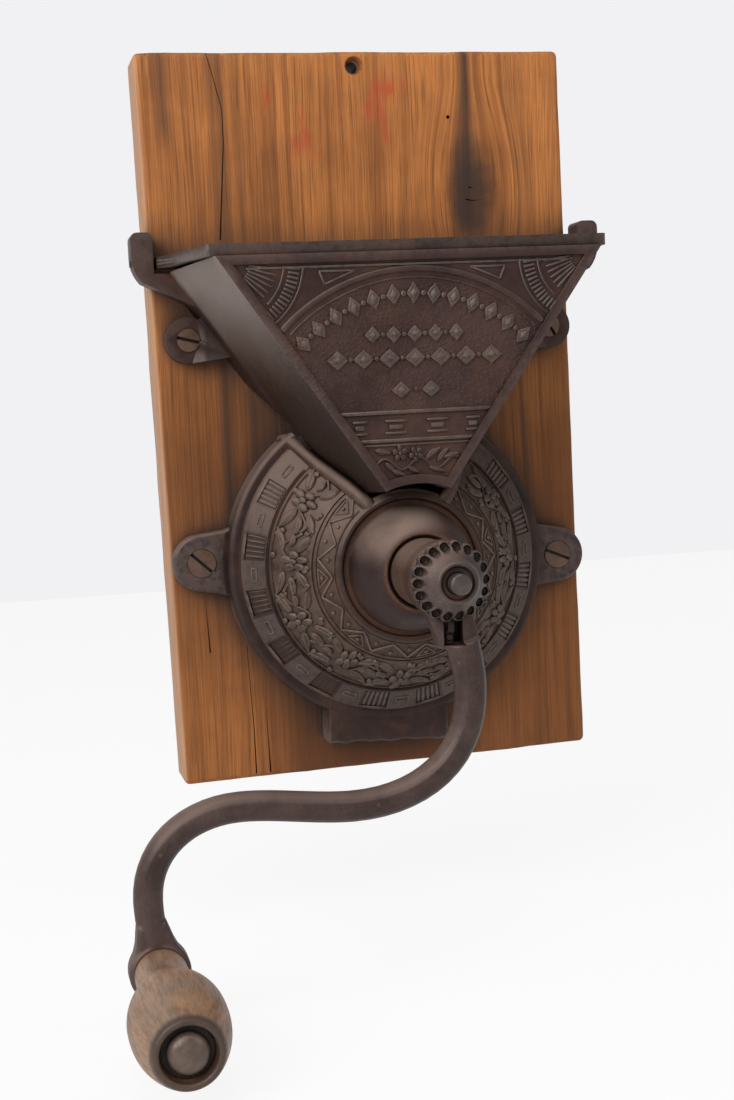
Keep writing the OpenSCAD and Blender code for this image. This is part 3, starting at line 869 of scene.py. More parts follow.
        # painted reflection: the upper part of the left flank is paled
        colour = p.mix(p.times(left, p.range(z, 0.06, 0.112, 0.0, 0.85)), colour, self.rubbed_and_sheen)
        colour = p.mix(p.times(left, p.range(z, 0.105, 0.05, 0.0, 0.9)), colour, self.foot)
        tail = p.times(p.range(p.sum("ABSOLUTE", x), *self.tail_x), p.range(y, *self.tail_y))
        return p.mix(p.times(tail, 0.7), colour, self.foot)

    def stipple(self, p: Paint) -> Socket:
        """Punched dots over the arched field of the hopper's front.

        Args:
            p: the material that is being painted.

        Returns:
            The relief of the dots.
        """
        x, y, z = p.axes()
        reach = p.length(x, p.sum("SUBTRACT", z, self.arch_z))
        field = p.times(p.range(y, *self.field_y), p.range(z, *self.field_z))
        field = p.times(field, p.range(reach, *self.field_r))
        return p.times(field, p.range(p.cells(700.0), 0.55, 0.15, 0.0, 2.5))


@dataclass(frozen=True)
class BoardPine:
    """Oiled old pine: upright grain, a knot with a dark streak, stains, long cracks and painted shade round
    the iron.
    """
    early: Tone = (0.5, 0.185, 0.05)
    late: Tone = (0.24, 0.084, 0.024)
    aged: Tone = (0.113, 0.04, 0.014)
    dark_stain_and_shade: Tone = (0.042, 0.026, 0.02)
    side: Tone = (0.5, 0.28, 0.16)
    red: Tone = (0.42, 0.045, 0.025)
    knot: Flat = (0.0437, 0.141)
    knot_size: Flat = (0.02, 0.036)
    foot: Flat = (-0.081, -0.0824)
    lean: float = 0.0123
    reach: float = 0.026
    grain: float = 0.3
    depth: float = 0.0005
    gloss: float = 0.2
    # Dark streaks along the grain: place, half width, foot, top and share
    streaks: tuple = ((0.0437, 0.0042, 0.112, 0.2, 0.8), (-0.0765, 0.0048, 0.15, 0.2, 0.6),
                      (-0.0545, 0.003, 0.06, 0.2, 0.5), (0.067, 0.004, 0.12, 0.16, 0.25),
                      (-0.058, 0.0032, -0.03, 0.085, 0.7), (-0.0485, 0.0028, -0.02, 0.065, 0.6),
                      (0.062, 0.003, -0.03, 0.06, 0.4))

    def make(self) -> Material:
        """Builds the material.

        Returns:
            The material.
        """
        p = Paint("oiled_pine")
        x, y, z = p.axes()
        near = self.near_knot(p, x, z)
        pull = p.range(near, 0.0, 1.6, 0.5, 0.0)
        bent = p.sum("MULTIPLY_ADD", p.sum("SUBTRACT", self.knot[0], x), pull, x)
        bent = p.sway(bent, p.noise(16.0, 3.0, 0.5, p.stretch((1, 1, 0.16))), 0.014)
        lay = p.tree.nodes.new("ShaderNodeCombineXYZ")
        for socket, value in zip(lay.inputs, (bent, p.times(z, 0.014), p.times(y, 0.8))):
            p.put(socket, value)
        along = lay.outputs[0]
        lines = p.range(p.noise(330.0, 2.0, 0.55, along), 0.44, 0.68)
        wide = p.noise(70.0, 3.0, 0.5, along)
        fibre = p.noise(1500.0, 3.0, 0.65, along)
        colour = p.mix(p.times(lines, p.range(wide, 0.35, 0.6, 0.5, 0.9)), self.early, self.late)
        colour = p.mix(p.range(fibre, 0.38, 0.7, 0.0, 0.6), colour, self.late)
        colour = p.mix(p.range(p.noise(2600.0, 2.0, 0.6, along), 0.5, 0.7, 0.0, 0.65), colour, self.aged)
        colour = p.mix(p.range(p.noise(22.0, 4.0, 0.6), 0.38, 0.68, 0.0, 0.35), colour, self.aged)
        colour = p.mix(self.age(p, x, z), colour, self.aged)
        blot = p.sway(near, p.noise(90.0, 4.0, 0.6), 0.4)
        colour = p.mix(p.range(blot, 0.0, 0.4, 0.88, 0.0), colour, self.dark_stain_and_shade)
        for streak in self.streaks:
            colour = p.mix(self.streak(p, bent, z, fibre, streak), colour, self.dark_stain_and_shade)
        colour = p.mix(self.smear(p, x, z), colour, self.red)
        across = p.sum("SUBTRACT", x, self.foot[0])
        inside = p.sum("MULTIPLY_ADD", p.sum("SUBTRACT", z, self.foot[1]), self.lean, across)
        flank = p.times(p.range(inside, 0.0016, 0.0004), p.range(fibre, 0.3, 0.7, 0.9, 0.6))
        colour = p.mix(flank, colour, self.side)
        # painted shade round the iron pieces, which also stands for their dark stains on the wood
        colour = p.mix(p.range(p.cavity(self.reach), 0.97, 0.35, 0.0, 0.9), colour, self.dark_stain_and_shade)
        p.bump(p.sum("MULTIPLY_ADD", lines, -0.6, p.times(fibre, 0.5)), self.grain, self.depth)
        return p.finish(colour, p.range(fibre, 0.3, 0.7, 0.46, 0.64), 0.0, self.gloss)

    def near_knot(self, p: Paint, x: Socket, z: Socket) -> Socket:
        """How far a place is from the knot: 0 in its middle and 1 on an oval round it.

        Args:
            p: the material that is being painted.
            x: place across the board.
            z: place up the board.

        Returns:
            The distance as a socket.
        """
        parts = []
        for axis, middle, size in zip((x, z), self.knot, self.knot_size):
            parts.append(p.sum("POWER", p.sum("DIVIDE", p.sum("SUBTRACT", axis, middle), size), 2.0))
        return p.sum("ADD", *parts)

    def age(self, p: Paint, x: Socket, z: Socket) -> Socket:
        """Share of the dark tone that hands and oil left round the casing, less at the lower left.

        Args:
            p: the material that is being painted.
            x: place across the board.
            z: place up the board.

        Returns:
            The share as a socket.
        """
        low = p.sway(z, p.noise(14.0, 4.0, 0.6), 0.09)
        worn = p.times(p.range(x, -0.03, -0.056), p.range(low, -0.01, -0.05, 0.0, 0.28))
        dark = p.sum("SUBTRACT", p.range(low, 0.12, 0.02, 0.0, 0.8), worn)
        middle = p.range(p.sum("ABSOLUTE", p.sum("ADD", x, 0.004)), 0.058, 0.02, -0.18, 0.2)
        return p.sum("MULTIPLY_ADD", middle, p.range(low, 0.09, -0.02), dark)

    def streak(self, p: Paint, bent: Socket, z: Socket, fibre: Socket, sizes: tuple) -> Socket:
        """Share of one dark streak along the grain.

        Args:
            p: the material that is being painted.
            bent: place across the bent grain.
            z: place up the board.
            fibre: noise along the grain.
            sizes: place, half width, foot, top and share of the streak.

        Returns:
            The share as a socket.
        """
        at, half, foot, top, share = sizes
        off = p.sway(p.sum("ABSOLUTE", p.sum("SUBTRACT", bent, at)), fibre, 0.004)
        tall = p.times(p.range(z, foot, foot + 0.02), p.range(z, top, top - 0.006, 0.6, 1.0))
        return p.times(p.range(off, half, 0.0, 0.0, share), tall)

    def smear(self, p: Paint, x: Socket, z: Socket) -> Socket:
        """Share of the faded red smears near the top.

        Args:
            p: the material that is being painted.
            x: place across the board.
            z: place up the board.

        Returns:
            The share as a socket.
        """
        rubbed_and_sheen = p.range(p.noise(120.0, 3.0, 0.5, p.stretch((1, 1, 0.3))), 0.55, 0.65)
        tall = p.times(p.range(z, 0.15, 0.166), p.range(z, 0.186, 0.178))
        wide = p.times(p.range(x, -0.056, -0.04), p.range(x, 0.03, 0.01, 0, 0.7))
        return p.times(p.times(rubbed_and_sheen, tall), wide)


@dataclass(frozen=True)
class KnobWood:
    """Turned hardwood, greyed by hands, with grain along the knob."""
    brown: Tone = (0.31, 0.162, 0.083)
    grey: Tone = (0.24, 0.16, 0.11)
    dark: Tone = (0.07, 0.036, 0.022)
    end_dark: Tone = (0.035, 0.021, 0.015)
    end_dark_y: Flat = (-0.1925, -0.195)
    reach: float = 0.006
    gloss: float = 0.4

    def make(self) -> Material:
        """Builds the material.

        Returns:
            The material.
        """
        p = Paint("turned_wood")
        along = p.stretch((1, 0.12, 1))
        fibre = p.noise(900.0, 3.0, 0.65, along)
        bands = p.noise(150.0, 3.0, 0.6, along, 0.4)
        colour = p.mix(p.range(p.noise(60.0, 4.0, 0.6), 0.36, 0.64), self.brown, self.grey)
        colour = p.mix(p.range(bands, 0.42, 0.7, 0.0, 0.55), colour, self.dark)
        colour = p.mix(p.range(fibre, 0.4, 0.75, 0.0, 0.4), colour, self.dark)
        # painted shade: the knob is darkened where it is closed in
        open_air = p.range(p.cavity(self.reach), 0.3, 0.95)
        colour = p.mix(p.times(p.sum("SUBTRACT", 1.0, open_air), 0.8), colour, self.dark)
        # darker towards the end of the knob, round its recess
        colour = p.mix(p.range(p.axes()[1], *self.end_dark_y, 0.0, 0.85), colour, self.end_dark)
        p.bump(p.sum("MULTIPLY_ADD", fibre, 0.6, bands), 0.2, 0.0004)
        return p.finish(colour, p.range(fibre, 0.3, 0.7, 0.42, 0.58), 0.0, self.gloss)


@dataclass(frozen=True)
class WornSteel:
    """Bare steel with a brown film and fine scratches."""
    name: str
    bright: Tone
    film: Tone
    metal: float = 0.75
    share: float = 0.6
    gloss: float = 0.5
    dirt_and_shade: Tone = (0.012, 0.008, 0.006)
    reach: float = 0.002

    def make(self) -> Material:
        """Builds the material.

        Returns:
            The material.
        """
        p = Paint(self.name)
        cloud = p.noise(260.0, 5.0, 0.65)
        lines = p.noise(1400.0, 2.0, 0.5, p.stretch((1, 1, 0.1), (0.0, 0.6, 0.0)))
        colour = p.mix(p.range(cloud, 0.36, 0.64, 0.1, self.share), self.bright, self.film)
        # painted shade: the steel is darkened where it is closed in
        open_air = p.range(p.cavity(self.reach), 0.3, 0.95)
        colour = p.mix(p.sum("SUBTRACT", 1.0, open_air), colour, self.dirt_and_shade)
        p.bump(p.sum("MULTIPLY_ADD", lines, 0.4, cloud), 0.2, 0.0002)
        return p.finish(colour, p.range(lines, 0.3, 0.7, 0.3, 0.5), self.metal, self.gloss)


@dataclass(frozen=True)
class Finishes:
    """All finishes of the mill."""
    board: Material
    iron: Material
    plate: Material
    crank: Material
    nut: Material
    burr: Material
    shaft: Material
    spring: Material
    pin: Material
    screw: Material
    knob: Material

    @classmethod
    def make(cls) -> "Finishes":
        """Builds every material once.

        Returns:
            The set of materials.
        """
        return cls(
            board=BoardPine().make(),
            iron=CastIron("cast_iron", (0.025, 0.0125, 0.0112), (0.047, 0.027, 0.0235),
                          rings=(Tint(0.0118, 0.0142, -0.087, -0.091, 0.8, RUST),
                                 Tint(0.0226, 0.0256, -0.066, -0.0705, 0.28, RUST),
                                 Tint(0.0272, 0.0476, -0.03, -0.076, 0.8, (0.092, 0.058, 0.041)),
                                 Tint(0.0476, 0.0572, -0.03, -0.076, 0.6, (0.052, 0.03, 0.022)),
                                 Tint(0.0628, 0.095, -0.0225, -0.031, 0.8, (0.09, 0.062, 0.056)))).make(),
            plate=CastIron("hopper_iron", (0.035, 0.0165, 0.014), (0.066, 0.036, 0.031), rust_share=0.2,
                           dust_and_highlight_share=0.2, edges=0.45, plate=True).make(),
            crank=CastIron("crank_iron", (0.04, 0.0245, 0.0215), (0.087, 0.057, 0.051), rust_share=0.25,
                           rough=(0.36, 0.54), grain=0.2, edges=0.3, dust_and_highlight_share=0.5,
                           rings=(Tint(0.0, 0.0138, -0.086, -0.1186, 0.95, (0.055, 0.024, 0.011)),)).make(),
            nut=CastIron("nut_iron", (0.048, 0.033, 0.03), (0.105, 0.078, 0.071), rust_share=0.25,
                         rough=(0.36, 0.54), grain=0.2, edges=0.55, dust_and_highlight_share=0.5,
                         # the ring at the foot of the nut darkens its scalloped hollows: painted shade
                         rings=(Tint(0.0099, 0.0133, -0.1197, -0.1237, 0.7, (0.026, 0.018, 0.016)),)).make(),
            burr=CastIron("burr_iron", (0.06, 0.052, 0.048), (0.13, 0.115, 0.105), rust_share=0.25).make(),
            shaft=WornSteel("shaft_steel", (0.1, 0.083, 0.073), (0.045, 0.034, 0.028), 0.5,
                            gloss=0.3).make(),
            # spring, rivet and knob washer are kept nearly black: their own dark steel, and painted shade of
            # the notch under the nut
            spring=WornSteel("spring_steel", (0.034, 0.023, 0.018), (0.016, 0.01, 0.008), 0.1,
                             gloss=0.12).make(),
            pin=WornSteel("pin_steel", (0.13, 0.09, 0.068), (0.06, 0.038, 0.028), 0.3).make(),
            screw=WornSteel("screw_steel", (0.14, 0.083, 0.058), (0.07, 0.038, 0.026), 0.4,
                            gloss=0.35).make(),
            knob=KnobWood().make())


# Relief

@dataclass
class Relief:
    """Collects raised motifs and joins them into one piece."""
    name: str
    sunk: float = 0.35
    petals: int = 5

    def __post_init__(self) -> None:
        """Starts with nothing drawn."""
        self.parts: list[Piece] = []

    def add(self, points: Sequence[Flat], height: float, edge: float, segments: int = 2) -> Piece:
        """Raises one flat outline; its foot is sunk into the ground.

        Args:
            points: the outline.
            height: height over the ground.
            edge: rounding of its top edge.
            segments: steps of the rounding.

        Returns:
            The motif.
        """
        part = plate("motif", points, height + self.sunk, edge, -self.sunk, segments)
        self.parts.append(part)
        return part

    def line(self, path: Sequence[Flat], width: float, height: float) -> Piece:
        """Raises a rounded line along a path."""
        return self.add(stroke(path, width), height, width * 0.36)

    def flower(self, cx: float, cy: float, r: float, turn: float, height: float) -> list[Piece]:
        """Raises a five petalled flower with a button in its middle.

        Args:
            cx: middle, sideways.
            cy: middle, upwards.
            r: radius of the flower.
            turn: angle of the first petal, in degrees.
            height: height of the petals.

        Returns:
            The motifs.
        """
        made = []
        for i in range(self.petals):
            a = math.radians(turn + 360 / self.petals * i)
            x, y = cx + 0.6 * r * math.cos(a), cy + 0.6 * r * math.sin(a)
            oval = ring(x, y, 0.42 * r, 0.36 * r, 12, math.degrees(a))
            made.append(self.add(oval, height, 0.26 * r, 3))
        made.append(self.add(ring(cx, cy, 0.26 * r, 0.26 * r, 10), height * 1.35, 0.14 * r, 2))
        return made

    def spray(self, cx: float, cy: float, length: float, width: float, turn: float,
              height: float) -> list[Piece]:
        """Raises one leaf with a rib along its middle.

        Args:
            cx: where it starts, sideways.
            cy: where it starts, upwards.
            length: length of the leaf.
            width: its greatest width.
            turn: the angle along which it grows, in degrees.
            height: height of the blade.

        Returns:
            Blade and rib.
        """
        c, s = math.cos(math.radians(turn)), math.sin(math.radians(turn))
        rib = [(cx + c * length * t, cy + s * length * t) for t in (0.1, 0.5, 0.9)]
        blade = self.add(leaf(cx, cy, length, width, turn), height, width * 0.3, 3)
        return [blade, self.line(rib, 0.5, height * 1.25)]

    def done(self) -> Piece:
        """Joins what was raised."""
        return smooth(join(self.name, self.parts), 50.0)


@dataclass(frozen=True)
class Band:
    """A conical band round the shaft, from its outer edge to its inner one as (radius, height)."""
    outer: Flat
    inner: Flat

    @property
    def width(self) -> float:
        """Width along the slope."""
        return math.hypot(self.inner[0] - self.outer[0], self.inner[1] - self.outer[1])

    @property
    def mid(self) -> float:
        """Middle radius."""
        return (self.outer[0] + self.inner[0]) / 2

    def bend(self, parts: Sequence[Piece], at: float, stretch: float = 1.0) -> None:
        """Bends flat motifs onto the band.

        Args:
            parts: motifs with x along the band, y from its outer edge inwards and z proud of it.
            at: where their zero goes, in degrees clockwise from the top.
            stretch: how much the motifs are drawn out across the band.
        """
        t = Vector([(inner - outer) / self.width for inner, outer in zip(self.inner, self.outer)])
        up = Vector((t.y, -t.x))
        for part in parts:
            for vertex in part.data.vertices:
                x, y, z = vertex.co
                place = Vector(self.outer) + t * (y * stretch) + up * z
                a = math.radians(at) - x / self.mid
                vertex.co = (place.x * math.sin(a), place.x * math.cos(a), place.y)


# Sub-assemblies

@dataclass
class Board:
    """The pine board with its nail hole and cracks."""
    corners: tuple = ((-81.0, -82.4), (81.0, -80.2), (81.0, 193.3), (-84.4, 193.3))
    corner: float = 2.2
    cuts: int = 30
    long: float = 40.0
    nail: Flat = (-1.4, 187.4)
    nail_r: float = 2.3
    pin_hole: Flat = (35.4, 168.3)
    cracks: tuple = (((-55.6, 124.0), (-52.4, 160.0), (-52.3, 172.0), (-55.0, 184.0), (-57.6, 194.4)),
                     ((-53.2, -80.4), (-53.2, -62.0), (-53.7, -46.0), (-54.2, -30.0)),
                     ((-47.6, -80.4), (-47.9, -66.0), (-48.2, -50.0)),
                     ((-68.4, -32.0), (-68.9, -20.0), (-69.3, -10.0)),
                     ((30.0, -80.4), (29.4, -72.0), (29.6, -64.0)))
    checks: tuple = (((136.8, 41.0), (136.2, 44.5), (136.8, 47.5)), ((141.4, 42.4), (141.0, 44.6)))
    crack_w: float = 0.55
    crack_deep: float = 2.4
    crater: tuple = ((0.0, -2.2), (2.3, -2.2), (3.3, -0.5), (4.2, 0.9), (0.0, 0.9))
    crater_off: float = 0.5
    pin_r: float = 0.7
    seed: int = 7
    rim: float = 2.5
    rim_wear: float = 0.24
    face_wear: float = 0.1
    wave: float = 0.11
    wave_along: float = 0.6

    def build(self) -> Piece:
        """Planes the board, rounds its edges, and cuts the holes and cracks.

        Returns:
            The board in its place.
        """
        noise.seed_set(self.seed)
        obj = plate("pine_board", self.corners, BOARD_T, 0.0, -BOARD_T)
        with editing(obj):
            bpy.ops.mesh.bevel(offset=self.corner, segments=4, affect="EDGES")
            choose_edges(obj, lambda e: self.span(obj, e) > self.long)
            bpy.ops.mesh.subdivide(number_cuts=self.cuts)
        right, top = self.corners[2]
        for vertex in obj.data.vertices:
            x, y, z = vertex.co
            rim = max(abs(x) - right, y - top, self.corners[1][1] - y)
            wear = self.rim_wear if rim > -self.rim else self.face_wear
            vertex.co += noise.noise_vector(Vector((x, y * self.wave_along, z)) * self.wave) * wear
        bore = rod("nail_hole", self.nail_r, -BOARD_T - 2, 2.0, self.nail, 20)
        crater = lathe("crater", self.crater, 14)
        shift(crater, (self.nail[0] + self.crater_off, self.nail[1] + self.crater_off, 0.0))
        carve(obj, bore)
        carve(obj, crater)
        carve(obj, rod("pin_hole", self.pin_r, -4.0, 1.0, self.pin_hole, 12))
        for path in self.cracks:
            carve(obj, self.crack(path, False))
        for path in self.checks:
            carve(obj, self.crack(path, True))
        return stand(smooth(obj, 40.0))

    def span(self, obj: Piece, edge: bpy.types.MeshEdge) -> float:
        """Length of an edge."""
        a, b = (obj.data.vertices[i].co for i in edge.vertices)
        return (a - b).length

    def crack(self, path: Sequence[Flat], level: bool) -> Piece:
        """A thin cut along a path, which tapers towards one end.

        Args:
            path: places along the crack, and across it.
            level: whether the crack runs sideways, with the height given first.

        Returns:
            The solid that is cut out.
        """
        left, right = [], []
        for i, (x, y) in enumerate(path):
            half = self.crack_w / 2 * (1 - 0.75 * i / (len(path) - 1)) + 0.04 * math.sin(5.0 * i)
            left.append((x - half, y))
            right.append((x + half, y))
        line = right + left[::-1]
        if level:
            line = [(y, x) for x, y in line]
        return plate("crack", line, self.crack_deep + 1, 0.0, -self.crack_deep)

    def dress(self, finishes: Finishes) -> None:
        """Builds and places the board."""
        settle(self.build(), Body.MILL, finishes.board, Slot.BOARD, "backboard")


@dataclass
class Hopper:
    """The flared hopper, its ornamented front plate and its lid."""
    foot_up: float = 30.9
    foot_d: float = 63.7
    top_up: float = 111.7
    top_d: float = 71.4
    edge: float = 0.00055
    lid_edge: float = 0.0009
    corner: Flat = (64.0, 109.2)
    fan_angles: Flat = (184.0, 233.0)
    # Rays of the fans: count, first angle, angle left out, ends, width and height
    rays: tuple = ((13, 2, 2, (20.6, 24.4), 0.8, 0.7), (6, 4, 12, (7.0, 16.5), 0.7, 0.6))
    arch_centre: float = 40.7
    arch_r: float = 66.0
    row_r: float = 56.6
    row_half: int = 13
    row_span: float = 44.0
    # Straight lines across the plate: half length, place up the plate, width and height
    rules: tuple = ((28.2, 56.6, 1.3, 0.9), (21.2, 46.8, 1.2, 0.8), (20.6, 45.2, 0.6, 0.5),
                    (58.0, 107.2, 0.8, 0.6))
    triangle: tuple = ((20.7, 105.6), (33.0, 105.6), (31.2, 101.2), (20.7, 105.6))
    # Bricks under the panel: place and width; their lines: place up the plate and height
    bricks: tuple = ((-20.4, 5.2), (-7.5, 7.8), (7.5, 7.8), (20.4, 5.2))
    brick_lines: tuple = ((53.6, 0.7), (49.4, 0.6))
    # Straight rows of lozenges: place up the plate, half length, count, width and height
    rows: tuple = ((83.4, 15.0, 5, 5.6, 6.0), (75.2, 27.6, 7, 7.6, 6.6), (64.2, 5.4, 2, 7.0, 5.8))
    flowers: tuple = ((-6.4, 42.2, 2.9, 20), (-0.6, 41.6, 2.7, 50))
    # Leaves at the foot: place, length, width and angle
    leaves: tuple = ((-15.5, 43.6, 6.5, 2.4, -12), (-12.0, 39.2, 5.6, 2.2, -40), (2.6, 39.6, 7.4, 2.6, 35),
                     (6.8, 38.4, 7.2, 2.4, 48), (9.2, 40.0, 6.4, 2.2, 12), (3.8, 37.0, 6.8, 2.2, -18),
                     (-9.6, 36.4, 6.0, 2.2, -22), (-4.0, 37.6, 5.4, 2.0, -30))

    def lay(self, parts: Sequence[Piece]) -> None:
        """Lays motifs drawn as (sideways, up, proud) onto the leaning front plate.

        Args:
            parts: the motifs, which are moved.
        """
        lean = (self.top_d - self.foot_d) / (self.top_up - self.foot_up)
        size = math.hypot(1.0, lean)
        for part in parts:
            for vertex in part.data.vertices:
                x, up, out = vertex.co
                d = self.foot_d + (up - self.foot_up) * lean
                vertex.co = (x, up - out * lean / size, d + out / size)

    def ornament(self) -> Piece:
        """Raises the lines, fans, dashes and flowers of the front plate.

        Returns:
            The relief in its place.
        """
        r = Relief("hopper_relief")
        c = self.arch_centre
        r.line(arc(0, c, self.arch_r - 1.0, 44, 136, 40), 2.2, 0.9)
        r.line(arc(0, c, self.arch_r - 4.0, 45, 135, 40), 0.7, 0.4)
        for half, up, width, height in self.rules:
            r.line([(-half, up), (half, up)], width, height)
        for side in (-1, 1):
            self.fan(r, side)
            for a, b in zip(self.triangle, self.triangle[1:]):
                r.line([(side * a[0], a[1]), (side * b[0], b[1])], 0.7, 0.6)
        self.dashes(r)
        self.pearls(r)
        self.scroll(r)
        self.lay(r.parts)
        return stand(r.done())

    def fan(self, r: Relief, side: int) -> None:
        """A corner fan: rays, two arcs and a ribbed arc.

        Args:
            r: the relief that takes the motifs.
            side: -1 for the left corner and 1 for the right one.
        """
        cx, cy = side * self.corner[0], self.corner[1]
        start, end = self.fan_angles
        face = (lambda a: a) if side > 0 else (lambda a: 180.0 - a)
        r.line(arc(cx, cy, 19.0, face(start), face(end - 5), 12), 0.8, 0.6)
        r.line(arc(cx, cy, 25.6, face(start), face(end + 3), 14), 0.8, 0.6)
        for count, first, less, ends, width, height in self.rays:
            for i in range(count):
                a = math.radians(face(start + first + (end - start - less) * i / (count - 1)))
                r.line([(cx + k * math.cos(a), cy + k * math.sin(a)) for k in ends], width, height)

    def dashes(self, r: Relief) -> None:
        """The band of raised bricks under the panel.

        Args:
            r: the relief that takes the motifs.
        """
        for x, w in self.bricks:
            for up, height in self.brick_lines:
                r.line([(x - w / 2, up), (x + w / 2, up)], 0.8, height)
            r.add(box(x, 51.5, w * 0.62, 1.5), 0.6, 0.3)

    def pearls(self, r: Relief) -> None:
        """Rows of plain lozenges and beads that fill the arched panel.

        Args:
            r: the relief that takes the motifs.
        """
        n = self.row_half
        for i in range(2 * n - 1):
            deg = 90 + self.row_span * (1 - i / (n - 1))
            a = math.radians(deg)
            x, y = self.row_r * math.cos(a), self.arch_centre + self.row_r * math.sin(a)
            if i % 2:
                r.add(ring(x, y, 0.95, 0.95, 10), 1.0, 0.5)
            else:
                self.diamond(r, x, y, 7.4, 5.0, deg)
        for up, half, count, w, h in self.rows:
            for i in range(count):
                x = -half + 2 * half * i / (count - 1)
                self.diamond(r, x, up, w, h, 0.0)
                if i < count - 1:
                    r.add(ring(x + half / (count - 1), up, 0.8, 0.8, 10), 0.9, 0.4)

    def diamond(self, r: Relief, x: float, y: float, w: float, h: float, turn: float) -> None:
        """A raised lozenge with a pointed stud on it."""
        r.add(lozenge(x, y, w, h, turn), 0.8, 0.3)
        r.add(lozenge(x, y, w * 0.66, h * 0.66, turn), 1.5, min(w, h) * 0.2, 1)

    def scroll(self, r: Relief) -> None:
        """Two flowers and curling twigs with leaves at the foot of the plate.

        Args:
            r: the relief that takes the motifs.
        """
        for x, y, size, turn in self.flowers:
            r.flower(x, y, size, turn, 1.0)
        wave = [(-15 + 30 * t / 24, 38.4 + 2.0 * math.sin(0.62 * t)) for t in range(25)]
        r.line(wave, 0.9, 0.7)
        for x, y, length, width, turn in self.leaves:
            r.spray(x, y, length, width, turn, 0.8)

    def dress(self, finishes: Finishes) -> None:
        """Places the casting, its relief and the lid.

        Args:
            finishes: the materials of the mill.
        """
        body = smooth(soften(cad_copy("hopper", "hopper_casting"), self.edge, 2), 40.0)
        settle(body, Body.MILL, finishes.plate, Slot.IRON, "hopper")
        settle(self.ornament(), Body.MILL, finishes.plate, Slot.IRON)
        lid = smooth(soften(cad_copy("hopper_lid", "lid_plate"), self.lid_edge, 3), 40.0)
        settle(lid, Body.LID, finishes.iron, Slot.IRON, "hopper_lid")


